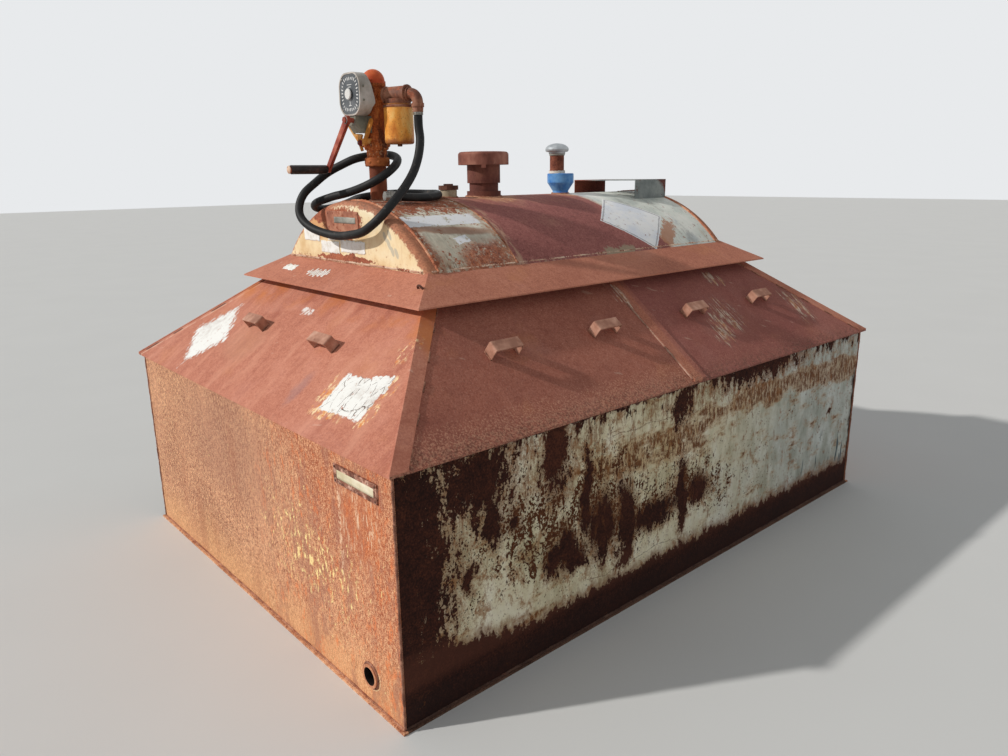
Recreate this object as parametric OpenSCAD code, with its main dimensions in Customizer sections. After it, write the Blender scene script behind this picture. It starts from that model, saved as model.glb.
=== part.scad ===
// Horizontal fuel tank in a rectangular steel dike with lift-off rain covers,
// a hand pump with a dial meter, a filter and a hose, an emergency vent and a breather.
// Millimetres. X is the width, Y the length, the pump end faces -Y, Z is up.
// The origin is on the ground under the middle of the dike.

/* [Dike] */
// Outside width of the dike
dike_w = 1829; // [1500:1:2400]
// Outside length of the dike
dike_l = 2510; // [2300:1:3200]
// Height of the wall tops above the ground
wall_h = 742; // [600:1:800]
// Thickness of the wall plates
wall_t = 5; // [3:0.5:8]
// Thickness of the floor plate
floor_t = 6; // [4:0.5:10]
// How far the floor plate stands out past the walls
floor_lip = 12; // [4:1:25]
// Distance of the drain from the right side of the dike
drain_side = 156.5; // [80:0.5:600]
// Height of the drain's axis above the ground
drain_z = 91; // [60:1:200]
// Inner diameter of the drain coupling
drain_bore = 52; // [30:1:60]
// Wall of the drain coupling
drain_wall = 9; // [5:1:14]
// How far the drain coupling stands out of the wall
drain_out = 8; // [4:1:30]
// Length of the drain coupling inside the dike
drain_in = 40; // [20:1:60]

/* [Name plate holder] */
// Width of the holder
plate_w = 212; // [120:1:260]
// Height of the holder
plate_h = 54; // [36:1:80]
// Distance of the holder's middle from the right side of the dike
plate_side = 173.5; // [130:0.5:600]
// Distance of the holder's middle below the top of the wall
plate_down = 84; // [40:1:200]
// Width of the holder's raised rim
plate_rim = 14; // [8:1:16]

/* [Rain covers] */
// Height at which the side covers lean on the tank
lean_at = 1036; // [1000:1:1050]
// Thickness of the rain covers
cover_t = 5; // [3:0.5:7]
// How far the covers reach out past the walls
cover_over = 18; // [8:1:40]
// Width of the lap along each hip
hip_lap = 55; // [30:1:80]
// Width of the strip over the joint of two side covers
seam_w = 70; // [40:1:100]
// Thickness of the laps
lap_t = 3; // [2:0.5:5]
// Thickness of the joint strip
strip_t = 5; // [2:0.5:6]

/* [Cover handles] */
// Length of a strap handle
handle_l = 114; // [80:1:160]
// Width of the strap
handle_w = 38; // [25:1:50]
// Height of the handle over the cover
handle_h = 42; // [30:1:60]
// Thickness of the strap
handle_t = 5; // [3:0.5:8]
// Distance of the handles up the slope from the cover's lower edge
handle_up = 288; // [150:1:330]
// Distances of the side handles from the middle of the tank
side_handle_near = 256; // [150:1:400]
side_handle_far = 710; // [500:1:780]
// Distance of the end handles from the middle of the tank
end_handle_x = 244; // [120:1:320]

/* [Tank] */
// Outside diameter of the tank
tank_d = 1219; // [1150:1:1280]
// Length of the tank over its heads
tank_l = 1600; // [1400:1:1700]
// Height of the tank's axis
tank_z = 737; // [720:1:780]
// Thickness of the shell and heads
tank_t = 5; // [4:0.5:8]
// Length of the front shell course
course_l = 381; // [250:1:600]
// Radius of the rounded edge of the heads
knuckle_r = 22; // [15:1:40]
// Straight flange of the heads behind the rounded edge
head_flange = 23; // [10:1:40]
// Width of each saddle across the tank
saddle_w = 760; // [500:1:900]
// Distance of the saddles from the middle of the tank
saddle_y = 520; // [350:1:650]
// Length of each saddle along the tank
saddle_l = 120; // [80:1:180]
// Plate thickness of the saddles
saddle_t = 10; // [6:1:14]

/* [Flashing] */
// Height of the flashing's lower edge over the place where the covers lean
flash_gap = 21; // [10:1:50]
// How far the flashing reaches out from the tank
flash_run = 133; // [100:1:150]
// Slope of the flashing
flash_angle = 29.2; // [22:0.2:34]
// Thickness of the flashing
flash_t = 4; // [2:0.5:6]

/* [Pump] */
// Distance of the pump from the front end of the tank
pump_back = 137; // [110:1:200]
// Outside diameter of the riser pipes of the pump and the breather
pipe_d = 60.3; // [48:0.1:70]
// Bore of these pipes
pipe_bore = 52.5; // [40:0.1:56]
// Height of the union's underside above the top of the tank
riser_h = 114.5; // [100:0.5:160]
// Diameter of the union ring
union_d = 86; // [80:1:100]
// Height of the union ring
union_h = 30; // [20:1:40]
// Diameter of the pump column
column_d = 76; // [68:1:82]
// Height from the union's underside to the cap of the column
column_h = 273; // [262:1:290]
// Height of the column's flange above the union
flange_up = 28; // [20:1:30]
// Height of the cap on the column
cap_h = 48; // [40:1:60]

/* [Meter] */
// Width of the meter's face
meter_w = 134; // [110:1:150]
// Height of the meter's face
meter_h = 138; // [120:1:160]
// Distance of the middle of the meter's face below the cap
meter_down = 38; // [28:1:52]
// Distance of the meter's front from the pump's axis
meter_front = 97; // [90:1:110]
// Depth of the recess of the dial
dial_recess = 4; // [2:0.5:6]
// Diameter of the reset knob
knob_d = 36; // [26:1:44]
// How far the reset knob stands out of the dial
knob_out = 12; // [8:1:14]

/* [Crank] */
// Distance of the crank's axis below the meter
crank_down = 15; // [12:1:22]
// Distance of the crank's axis from the middle of the pump
crank_x = 8; // [0:1:14]
// Distance between the axes of the crank and its grip
crank_r = 217; // [160:1:222]
// Angle of the arm at rest, from straight down towards -X
crank_rest = 43; // [20:1:60]
// Diameter of the crank's shaft
shaft_d = 16; // [12:1:20]
// Thickness of the arm
arm_t = 12; // [8:1:16]
// Length of the grip
grip_l = 140; // [100:1:150]
// Diameter of the grip
grip_d = 31; // [24:1:34]

/* [Filter and hose] */
// Angle between the outlet and +X
outlet_turn = 15; // [5:1:25]
// Distance of the outlet's axis below the cap
outlet_down = 41; // [34:1:50]
// Distance of the filter from the pump's axis
filter_r = 108; // [104:1:125]
// Diameter of the filter canister
canister_d = 99; // [90:1:110]
// Height of the filter canister
canister_h = 130; // [110:1:150]
// Distance of the hose's top from the pump's axis
elbow_r = 193; // [188:1:215]
// Outside diameter of the hose
hose_d = 29; // [24:0.5:30]

/* [Vents and fill] */
// Distance of the emergency vent from the middle of the tank, towards the pump
vent_y = 175; // [120:1:260]
// Outside diameter of the emergency vent's riser
vent_pipe_d = 114; // [100:1:125]
// Diameter of the vent's seat
vent_seat_d = 130; // [124:1:145]
// Diameter of the vent's lid
vent_lid_d = 198; // [170:1:220]
// Height of the rim that the lid rests on above the top of the tank
vent_h = 145.5; // [125:0.5:160]
// Height of the vent's seat ring
vent_ring_h = 95; // [60:1:105]
// Distance of the breather from the middle of the tank, away from the pump
breather_y = 258; // [230:1:330]
// How far the breather's pipe stands off the middle of its reducer
breather_off = 22; // [0:1:24]
// Diameter of the top of the reducer
reducer_d = 113; // [112:1:130]
// Diameter of the breather's cap
breather_cap_d = 100; // [84:1:120]
// Distance of the fill opening from the pump
fill_back = 311; // [260:1:360]
// Diameter of the fill cap
fill_cap_d = 76; // [60:1:90]

/* [Top guard] */
// Width of the guard across the tank
guard_w = 366; // [260:1:420]
// Length of the guard along the tank
guard_l = 215; // [150:1:240]
// Distance of the guard's middle from the rear end of the tank
guard_back = 152; // [140:1:260]
// Height of the guard above the top of the tank
guard_h = 53.5; // [35:0.5:90]
// Thickness of the guard's sheet
guard_t = 4; // [2:0.5:6]

/* [Hidden] */
$fn = 96;

// Clearance between pieces that seat on each other
seat = 0.2;
tank_r = tank_d / 2;
// Clearance of the moving pieces
run_gap = 5;

drain_x = dike_w / 2 - drain_side;
plate_x = dike_w / 2 - plate_side;
plate_z = wall_h - plate_down;

// Covers: their underside runs from the top of the wall to the place where it leans on the tank
lean_x = sqrt(pow(tank_r + 2 * seat, 2) - pow(lean_at - tank_z, 2));
cover_angle = atan2(lean_at - wall_h - seat, dike_w / 2 - lean_x);
cover_x = dike_w / 2 + cover_over;
cover_y = dike_l / 2 + cover_over;
cover_drop = cover_t / cos(cover_angle);
cover_z = wall_h + seat + cover_drop - cover_over * tan(cover_angle);
function cover_top(run) = cover_z + run * tan(cover_angle);
cover_run = cover_x - lean_x;
// The end covers stop short of the heads
end_run = min(cover_run, cover_y - tank_l / 2 - run_gap);
// Outer radius of the bends of a handle
handle_bend = 6;
// Room for the wedges that trim the covers and the flashing
over = 10;
tall = 3000;

// Flashing: where its upper face meets the tank
flash_z = lean_at + flash_gap;
flash_top = flash_z + flash_run * tan(flash_angle);
flash_in_x = sqrt(pow(tank_r, 2) - pow(flash_top - tank_z, 2));
flash_in_y = tank_l / 2;

head_depth = knuckle_r + head_flange;
tank_top = tank_z + tank_r;
shell_end = tank_l / 2 - head_depth;
course_y = -tank_l / 2 + course_l;

// How far the feet of the fittings reach down before they are trimmed to the tank
foot_in = 30;

// Pump
pump_at = [0, -tank_l / 2 + pump_back, 0];
pump_y = -pump_at[1];
union_z = tank_top + riser_h;
column_top = union_z + column_h;
column_z = union_z + union_h + seat;
column_r = column_d / 2;
collar_r = column_r - 3;
flange_z = union_z + union_h + flange_up;
flange_h = 28;
flange_r = column_r + 4;
cap_flange = 8;
cap_r = column_r + 1;

// Meter, gear case and nozzle hook
meter_z = column_top - meter_down;
meter_y = -pump_y - meter_front;
meter_corner = 48;
meter_rim = 5;
dial_y = meter_y + dial_recess;
dial_t = 2;
case_w = 48;
case_h = 54;
case_top = meter_z - meter_h / 2 - seat;
hook_z = flange_z + 21;
hook_y = -pump_y - column_r - 21;
hook_t = 8;

// Crank
crank_z = case_top - crank_down + 0.2;
arm_y = dial_y - seat - knob_out - run_gap - 0.3;
hub_r = 15;
tip_r = 11;
shaft_in = -pump_y - column_r - 12;
pin_d = 12;
pin_play = 0.4;
grip_play = 1;
crank_end = [crank_x - crank_r * sin(crank_rest), crank_z - crank_r * cos(crank_rest)];

// Filter, elbow and hose
outlet_z = column_top - outlet_down;
neck_r = 23;
outlet_face = 56;
head_r = 27;
head_l = 96;
canister_z = outlet_z - 30;
elbow_bend = 30;
elbow_tube_r = 18;
elbow_end = outlet_z - 44;
coupling_h = 16;
hose_r = hose_d / 2;
tube_sides = 10;
// The route of the hose is measured from the foot of the pump
pump_foot = [0, -pump_y, tank_top];
hose_start = [
  elbow_r * cos(outlet_turn), elbow_r * sin(outlet_turn), elbow_end - coupling_h - seat - tank_top
];

// Vents and fill
vent_rim_z = tank_top + vent_h;
vent_seat_z = vent_rim_z - vent_ring_h;
lid_skirt = 26;
lid_t = 23;
lid_round = 12;
stem_d = 12;
// Depth of the stem's guide bar under the rim
guide_down = 40;
reducer_h = 84;
reducer_foot_r = 34;
breather_pipe_h = 80;
cap_rise = 26;
fill_y = pump_y - fill_back;
fill_neck_h = 28;

// Top guard
guard_y = tank_l / 2 - guard_back;
guard_z = tank_top + guard_h;

// Route of the hose from the elbow round the pump, chosen by hand
hose_points = [
  [196, 47, 198], [208, 29, 146], [221, -3, 94], [234, -49, 46],
  [246, -103, 2], [245, -147, -38], [216, -171, -71], [165, -179, -96],
  [95, -183, -108], [20, -187, -114], [-60, -199, -106], [-130, -211, -88],
  [-180, -217, -56], [-200, -209, -16], [-198, -187, 26], [-190, -143, 63],
  [-180, -98, 96], [-142, -62, 122], [-98, -25, 144], [-70, 35, 154],
  [-22, 69, 154], [32, 63, 140], [68, 27, 116], [72, -19, 86],
  [40, -57, 58], [-20, -75, 38], [-80, -89, 24], [-140, -109, 12],
  [-204, -136, -8], [-250, -120, -26], [-266, -76, -35], [-249, -31, -28],
  [-206, -8, -14], [-152, 11, 4], [-112, 63, 14], [-96, 123, 18],
  [-76, 183, 18], [-30, 227, 16], [30, 231, 16], [82, 199, 12],
  [112, 143, 8], [122, 79, 8], [112, 13, 12]
];

module along_y(y) {
  translate([0, y, 0]) rotate([90, 0, 0]) children();
}

// Dike

module floor_plate() color("#4a3328")
  translate([-dike_w / 2 - floor_lip, -dike_l / 2 - floor_lip, 0])
    cube([dike_w + 2 * floor_lip, dike_l + 2 * floor_lip, floor_t]);

module end_wall() {
  translate([-dike_w / 2, -dike_l / 2, floor_t])
    cube([dike_w, wall_t, wall_h - floor_t]);
}

module front_wall() color("#8a5236")
  difference() {
    end_wall();
    translate([drain_x, -dike_l / 2 + wall_t + 1, drain_z]) rotate([90, 0, 0])
      cylinder(d = drain_bore + 2 * drain_wall + 2 * seat, h = wall_t + 2);
  }

module back_wall() color("#8a5236") mirror([0, 1, 0]) end_wall();

module right_wall() color("#b9b4a2")
  translate([dike_w / 2 - wall_t, -dike_l / 2 + wall_t + seat, floor_t])
    cube([wall_t, dike_l - 2 * wall_t - 2 * seat, wall_h - floor_t]);

module left_wall() color("#b9b4a2") mirror([1, 0, 0]) right_wall();

module drain_coupling() color("#5a3a2a")
  translate([drain_x, -dike_l / 2 + drain_in, drain_z]) rotate([90, 0, 0])
    difference() {
      cylinder(d = drain_bore + 2 * drain_wall, h = drain_in + drain_out);
      translate([0, 0, -1]) cylinder(d = drain_bore, h = drain_in + drain_out + 2);
    }

module plate_holder() color("#9a6a4a")
  translate([plate_x, -dike_l / 2 - seat, plate_z]) rotate([90, 0, 0])
    difference() {
      translate([-plate_w / 2, -plate_h / 2, 0]) cube([plate_w, plate_h, 5]);
      translate([-plate_w / 2 + plate_rim, -plate_h / 2 + plate_rim, 3])
        cube([plate_w - 2 * plate_rim, plate_h - 2 * plate_rim, 3]);
    }

// Rain covers

// Section of a sloping sheet, run along X from its lower edge, its upper face raised by lift
module slope_section(from, to, lift, thick) {
  drop = thick / cos(cover_angle);
  polygon([
    for (run = [from, to]) [-run, cover_top(run) + lift],
    for (run = [to, from]) [-run, cover_top(run) + lift - drop]
  ]);
}

module side_slab(from, to, lift, thick) {
  translate([cover_x, cover_y + over, 0]) rotate([90, 0, 0])
    linear_extrude(2 * (cover_y + over)) slope_section(from, to, lift, thick);
}

// Plan of what lies inside the mitre lines, shifted in by gap along Y
module side_plan(gap, y_to) {
  x_out = cover_x + over;
  x_in = cover_x - cover_run - over;
  linear_extrude(tall)
    polygon([
      [x_out, -cover_y - over + gap], [x_out, y_to], [x_in, y_to],
      [x_in, -cover_y + cover_x - x_in + gap]
    ]);
}

module cover_side_front() {
  intersection() {
    side_slab(0, cover_run, 0, cover_t);
    side_plan(seat, -seat);
  }
}

module end_slab(from, to, lift, thick) {
  translate([-cover_x - over, -cover_y, 0]) rotate([90, 0, 90])
    linear_extrude(2 * (cover_x + over)) mirror([1, 0]) slope_section(from, to, lift, thick);
}

module end_plan(gap) {
  y_in = -cover_y + end_run + over;
  x_low = cover_x + over - gap;
  x_high = cover_x - end_run - over - gap;
  linear_extrude(tall)
    polygon([
      [-x_low, -cover_y - over], [x_low, -cover_y - over], [x_high, y_in], [-x_high, y_in]
    ]);
}

// Lap of the end cover over the side cover: a band along the hip
module hip_band() {
  lift = (lap_t + seat) / cos(cover_angle);
  intersection() {
    side_slab(0, end_run, lift, lap_t);
    difference() {
      side_plan(0, 0);
      side_plan(hip_lap, 1);
    }
  }
  // the fold that joins the lap to the end cover
  intersection() {
    end_slab(0, end_run, lift, lap_t + 1);
    difference() {
      end_plan(0);
      end_plan(2 * lap_t);
    }
  }
}

module cover_end() {
  intersection() {
    end_slab(0, end_run, 0, cover_t);
    end_plan(0);
  }
  hip_band();
  mirror([1, 0, 0]) hip_band();
}

module cover_front() color("#8a4e3e") cover_end();
module cover_back() color("#8a4e3e") mirror([0, 1, 0]) cover_end();
module cover_right_front() color("#84463a") cover_side_front();
module cover_right_rear() color("#84463a") mirror([0, 1, 0]) cover_side_front();
module cover_left_front() color("#84463a") mirror([1, 0, 0]) cover_side_front();
module cover_left_rear() color("#84463a") mirror([1, 0, 0]) mirror([0, 1, 0]) cover_side_front();

module seam_strip() {
  intersection() {
    side_slab(0, cover_run, (strip_t + seat) / cos(cover_angle), strip_t);
    translate([0, -seam_w / 2, 0]) cube([tall, seam_w, tall]);
  }
}

module seam_strips() color("#7a4034") {
  seam_strip();
  mirror([1, 0, 0]) seam_strip();
}

// A bent strap that stands on the cover: X along its length, Y up the slope, Z off the sheet
module handle() {
  translate([0, handle_up + handle_w / 2, 0]) rotate([90, 0, 0])
    linear_extrude(handle_w) difference() {
      union() {
        translate([-handle_l / 2, 0]) square([handle_l, handle_h - handle_bend]);
        translate([-handle_l / 2 + handle_bend, 0]) square([handle_l - 2 * handle_bend, handle_h]);
        for (side = [-1, 1])
          translate([side * (handle_l / 2 - handle_bend), handle_h - handle_bend])
            circle(handle_bend, $fn = 32);
      }
      translate([-handle_l / 2 + handle_t, -1])
        square([handle_l - 2 * handle_t, handle_h - handle_t + 1]);
    }
}

module side_handle_at(y) {
  translate([cover_x, y, cover_z + seat]) rotate([0, cover_angle, 0]) rotate([0, 0, 90]) handle();
}

module end_handle_at(x) {
  translate([x, -cover_y, cover_z + seat]) rotate([cover_angle, 0, 0]) handle();
}

module side_handles() color("#8c5a48")
  for (side = [0, 1], y = [-side_handle_far, -side_handle_near, side_handle_near, side_handle_far])
    mirror([side, 0, 0]) side_handle_at(y);

module end_handles() color("#8c5a48")
  for (end = [0, 1], x = [-end_handle_x, end_handle_x])
    mirror([0, end, 0]) end_handle_at(x);

// Tank

// Outer form of the tank, grown by gap
module tank_form(gap) {
  knuckle = knuckle_r + gap;
  rotate([90, 0, 0]) rotate_extrude($fn = 192)
    intersection() {
      translate([0, -tank_l]) square([tank_r * 2, tank_l * 2]);
      union() {
        translate([0, -tank_l / 2 - gap]) square([tank_r - knuckle_r, tank_l + 2 * gap]);
        translate([0, -tank_l / 2 + knuckle_r]) square([tank_r + gap, tank_l - 2 * knuckle_r]);
        for (end = [-1, 1])
          translate([tank_r - knuckle_r, end * (tank_l / 2 - knuckle_r)]) circle(knuckle, $fn = 48);
      }
    }
}

module shell_course(from, to) {
  along_y(to) difference() {
    translate([0, tank_z, 0]) cylinder(r = tank_r, h = to - from, $fn = 192);
    translate([0, tank_z, -1]) cylinder(r = tank_r - tank_t, h = to - from + 2, $fn = 192);
  }
}

module shell_front() color("#b09a80") shell_course(-shell_end, course_y - seat);
module shell_rear() color("#8a4a40") shell_course(course_y, shell_end);

// Flat head with a rounded edge and a short straight flange
module head() {
  translate([0, -tank_l / 2, tank_z]) rotate([-90, 0, 0])
    rotate_extrude($fn = 192) {
      square([tank_r - knuckle_r, tank_t]);
      translate([tank_r - tank_t, knuckle_r]) square([tank_t, head_flange - seat]);
      translate([tank_r - knuckle_r, knuckle_r]) intersection() {
        difference() {
          circle(knuckle_r, $fn = 64);
          circle(knuckle_r - tank_t, $fn = 64);
        }
        translate([0, -knuckle_r]) square(knuckle_r);
      }
    }
}

module head_front() color("#cdb894") head();
module head_back() color("#cdb894") mirror([0, 1, 0]) head();

// Saddle: foot plate, web and a curved seat under the tank
module saddle() {
  seat_r = tank_r + seat;
  foot_z = floor_t + seat;
  difference() {
    union() {
      translate([-saddle_w / 2, -saddle_l / 2, foot_z]) cube([saddle_w, saddle_l, saddle_t]);
      translate([-saddle_w / 2, -saddle_t / 2, foot_z]) cube([saddle_w, saddle_t, tank_z - foot_z]);
      intersection() {
        along_y(saddle_l / 2) translate([0, tank_z, 0]) cylinder(r = seat_r + saddle_t, h = saddle_l);
        translate([-saddle_w / 2, -saddle_l / 2, foot_z]) cube([saddle_w, saddle_l, tank_z - foot_z]);
      }
    }
    along_y(saddle_l) translate([0, tank_z, 0]) cylinder(r = seat_r, h = 2 * saddle_l, $fn = 192);
    saddle_top = tank_z - sqrt(pow(seat_r + saddle_t, 2) - pow(saddle_w / 2, 2)) + 2 * saddle_t;
    translate([-tank_r, -saddle_l, saddle_top]) cube([tank_d, 2 * saddle_l, tank_d]);
  }
}

module saddles() color("#4a3328")
  for (y = [-saddle_y, saddle_y]) translate([0, y, 0]) saddle();

// Flashing

module flash_section(inner) {
  drop = flash_t / cos(flash_angle);
  inner_z = (flash_run + inner) * tan(flash_angle) + flash_z;
  polygon([
    [0, flash_z], [-flash_run - inner, inner_z], [-flash_run - inner, inner_z - drop],
    [0, flash_z - drop]
  ]);
}

module flashing_side() {
  x_out = flash_in_x + flash_run;
  y_out = flash_in_y + flash_run;
  difference() {
    intersection() {
      translate([x_out, y_out + over, 0]) rotate([90, 0, 0])
        linear_extrude(2 * (y_out + over)) flash_section(over);
      linear_extrude(tall) polygon([
        [x_out + over, -y_out - over + seat], [x_out + over, y_out + over - seat],
        [x_out - flash_run - over, y_out - flash_run - over - seat],
        [x_out - flash_run - over, -y_out + flash_run + over + seat]
      ]);
    }
    translate([0, 0, tank_z]) tank_form(seat);
  }
}

module flashing_end() {
  x_out = flash_in_x + flash_run;
  y_out = flash_in_y + flash_run;
  inner = knuckle_r + over;
  difference() {
    intersection() {
      translate([-x_out - over, -y_out, 0]) rotate([90, 0, 90])
        linear_extrude(2 * (x_out + over)) mirror([1, 0]) flash_section(inner);
      linear_extrude(tall) polygon([
        [-x_out - over, -y_out - over], [x_out + over, -y_out - over],
        [x_out - flash_run - inner, -y_out + flash_run + inner],
        [-x_out + flash_run + inner, -y_out + flash_run + inner]
      ]);
    }
    translate([0, 0, tank_z]) tank_form(seat);
  }
}

module flashing_front() color("#7e4438") flashing_end();
module flashing_back() color("#7e4438") mirror([0, 1, 0]) flashing_end();
module flashing_right() color("#7e4438") flashing_side();
module flashing_left() color("#7e4438") mirror([1, 0, 0]) flashing_side();

// Trims the foot of a fitting to the tank
module on_tank(bottom) {
  difference() {
    children();
    translate([0, 0, tank_z]) tank_form(seat);
    translate([-tank_r, -tank_l, bottom - tank_d]) cube([tank_d, 2 * tank_l, tank_d]);
  }
}

// Pump

module pump_riser() color("#8a4a2c")
  on_tank(tank_z)
    translate(pump_at) translate([0, 0, tank_top - foot_in]) difference() {
      cylinder(d = pipe_d, h = union_z - tank_top + foot_in - seat);
      translate([0, 0, -1]) cylinder(d = pipe_bore, h = union_z);
    }

module pump_union() color("#9a5426")
  translate(pump_at) translate([0, 0, union_z]) rotate_extrude() polygon([
    [pipe_bore / 2, 0], [union_d / 2 - 3, 0], [union_d / 2, 3], [union_d / 2, union_h - 3],
    [union_d / 2 - 3, union_h], [pipe_bore / 2, union_h]
  ]);

module pump_column() color("#8a3e1e")
  translate(pump_at) {
    rotate_extrude() polygon([
      [0, column_z], [collar_r, column_z], [collar_r, flange_z - 4], [flange_r, flange_z],
      [flange_r, flange_z + flange_h - 4], [column_r, flange_z + flange_h],
      [column_r, column_top - 14], [flange_r, column_top - 8], [flange_r, column_top - seat],
      [0, column_top - seat]
    ]);
    rotate([0, 0, outlet_turn]) {
      // drain boss on the flange
      translate([0, 0, flange_z + flange_h / 2]) rotate([0, 90, 0])
        cylinder(d = flange_h - 4, h = flange_r + 8, $fn = 48);
      // outlet neck
      translate([0, 0, outlet_z]) rotate([0, 90, 0]) cylinder(r = neck_r, h = outlet_face - seat);
    }
  }

// Low dome over a round flange
module pump_cap() color("#c4531e")
  translate(pump_at) translate([0, 0, column_top]) rotate_extrude() {
    square([flange_r, cap_flange]);
    intersection() {
      translate([0, cap_h - cap_r]) circle(cap_r);
      square([flange_r, cap_h]);
    }
  }

// Meter: rectangle with round corners, smaller by inset all round
module meter_outline(inset) {
  w = meter_w - 2 * inset;
  h = meter_h - 2 * inset;
  r = meter_corner - inset;
  translate([0, meter_z]) {
    square([w, h - 2 * r], center = true);
    square([w - 2 * r, h], center = true);
    for (x = [-1, 1], y = [-1, 1]) translate([x * (w / 2 - r), y * (h / 2 - r)]) circle(r);
  }
}

module meter_housing() color("#8d8a84")
  difference() {
    intersection() {
      along_y(-pump_y) linear_extrude(meter_front) meter_outline(0);
      translate([-meter_w, 0, meter_z]) rotate([90, 0, 90]) linear_extrude(2 * meter_w) polygon([
        [meter_y, -meter_h], [meter_y, meter_h], [meter_y + 33, meter_h], [meter_y + 40, 48],
        [meter_y + 56, -10], [meter_y + 59, -30], [meter_y + 50, -44], [meter_y + 46, -meter_h]
      ]);
    }
    along_y(dial_y) linear_extrude(meter_front) meter_outline(meter_rim);
    translate(pump_at) cylinder(r = flange_r + seat, h = tall);
  }

// Dial plate with its reset knob
module meter_dial() color("#55585c") {
  along_y(dial_y - seat) linear_extrude(dial_t) meter_outline(meter_rim + seat);
  translate([0, dial_y - seat, meter_z]) rotate([90, 0, 0]) rotate_extrude() polygon([
    [0, 0], [knob_d / 4, 0], [knob_d / 4, 5], [knob_d / 2 - 2, 5], [knob_d / 2, 7],
    [knob_d / 2, knob_out - 2], [knob_d / 2 - 2, knob_out], [0, knob_out]
  ]);
}

module gear_case() color("#77756a")
  difference() {
    translate([-case_w / 2, 0, case_top]) rotate([90, 0, 90]) linear_extrude(case_w) polygon([
      [meter_y + 4, 0], [meter_y + 4, -case_h + 24], [meter_y + 22, -case_h],
      [-pump_y, -case_h], [-pump_y, 0]
    ]);
    translate(pump_at) cylinder(r = column_r + seat, h = tall);
    translate([crank_x, shaft_in + 1, crank_z]) rotate([90, 0, 0])
      cylinder(d = shaft_d + 0.2, h = meter_front);
  }

// Forked hook under the gear case, on a foot that stands on the column
module hook_plate(tilt, outline) {
  translate([0, hook_y, hook_z]) rotate([90 + tilt, 0, 0])
    translate([0, 0, -hook_t / 2]) linear_extrude(hook_t) polygon(outline);
}

module nozzle_hook() color("#c48a34")
  difference() {
    union() {
      translate([-17, hook_y - hook_t / 2 - 1, hook_z - 4]) cube([38, column_r, 18]);
      hook_plate(17, [
        [-52, 74], [-43, 78], [-34, 52], [-27, 31], [14, 28], [17, 23], [4, 12], [-6, 0],
        [-8, -28], [-15, -28], [-18, 5], [-36, 32], [-50, 60]
      ]);
      hook_plate(-8, [[6, -8], [22, -10], [58, 68], [54, 78], [46, 77], [38, 60]]);
    }
    translate(pump_at) cylinder(r = column_r + seat, h = tall);
    translate(pump_at) translate([0, 0, flange_z - 5])
      cylinder(r = flange_r + seat, h = flange_h + 5 + seat);
  }

// Crank: arm, shaft and the pin of the grip turn together
module crank_arm() color("#a83a2c") {
  translate([crank_x, 0, crank_z]) {
    along_y(arm_y) linear_extrude(arm_t) rotate(-crank_rest) {
      circle(hub_r);
      translate([0, -crank_r]) circle(tip_r);
      polygon([[-hub_r + 3, 0], [hub_r - 3, 0], [tip_r - 2, -crank_r], [-tip_r + 2, -crank_r]]);
    }
    along_y(shaft_in) cylinder(d = shaft_d, h = shaft_in - arm_y + arm_t);
    // nut on the end of the shaft
    along_y(arm_y - arm_t) cylinder(r = hub_r - 4, h = 7, $fn = 6);
  }
  translate([crank_end[0], 0, crank_end[1]]) {
    along_y(arm_y - arm_t) cylinder(d = pin_d, h = grip_l + 2 * grip_play + 4);
    along_y(arm_y - arm_t - grip_l - 2 * grip_play) cylinder(d = grip_d - 6, h = 4);
  }
}

module crank_grip() color("#1d1a1a")
  translate([crank_end[0], arm_y - arm_t - grip_play, crank_end[1]]) rotate([90, 0, 0])
    rotate_extrude() polygon([
      [pin_d / 2 + pin_play, 0], [grip_d / 2 - 2, 0], [grip_d / 2, 3], [grip_d / 2, grip_l - 3],
      [grip_d / 2 - 2, grip_l], [pin_d / 2 + pin_play, grip_l]
    ]);

// Filter and outlet, in a frame that turns with the outlet
module at_outlet(distance, height) {
  translate(pump_at) rotate([0, 0, outlet_turn]) translate([distance, 0, height]) children();
}

module filter_head() color("#7c4a34") {
  at_outlet(outlet_face, outlet_z) rotate([0, 90, 0]) rotate_extrude() polygon([
    [0, 0], [head_r + 2, 0], [head_r + 2, 5], [head_r - 4, 7], [head_r - 4, 11], [head_r, 13],
    [head_r, head_l - 8], [head_r + 3, head_l - 6], [head_r + 3, head_l], [0, head_l]
  ]);
  at_outlet(filter_r, canister_z + seat)
    cylinder(d = canister_d - 14, h = outlet_z - canister_z - head_r + 12);
}

module filter_canister() color("#c88a3c")
  at_outlet(filter_r, canister_z - canister_h) rotate_extrude() {
    r = canister_d / 2;
    translate([0, 8]) square([r, canister_h - 14]);
    square([r - 8, canister_h]);
    translate([r - 8, 8]) circle(8, $fn = 48);
    translate([0, canister_h - 6]) square([r - 2, 6]);
  }

// Elbow that turns the outlet down to the hose
module outlet_elbow() color("#7a4232") {
  flat = elbow_r - outlet_face - head_l - elbow_bend;
  at_outlet(elbow_r - elbow_bend, outlet_z - elbow_bend) rotate([90, 0, 0])
    rotate_extrude(angle = 90) translate([elbow_bend, 0]) circle(elbow_tube_r, $fn = 64);
  at_outlet(outlet_face + head_l + seat, outlet_z) rotate([0, 90, 0]) {
    cylinder(r = elbow_tube_r, h = flat - seat);
    cylinder(r = elbow_tube_r + 4, h = min(8, flat - seat));
  }
  at_outlet(elbow_r, elbow_end) {
    cylinder(r = elbow_tube_r, h = outlet_z - elbow_bend - elbow_end);
    cylinder(r = elbow_tube_r + 3, h = 12);
  }
}

module hose_coupling() color("#8f8c86")
  at_outlet(elbow_r, elbow_end - coupling_h) {
    cylinder(r = hose_r + 3, h = coupling_h - seat);
    translate([0, 0, coupling_h - 7]) cylinder(r = hose_r + 5, h = 7 - seat, $fn = 6);
  }

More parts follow.
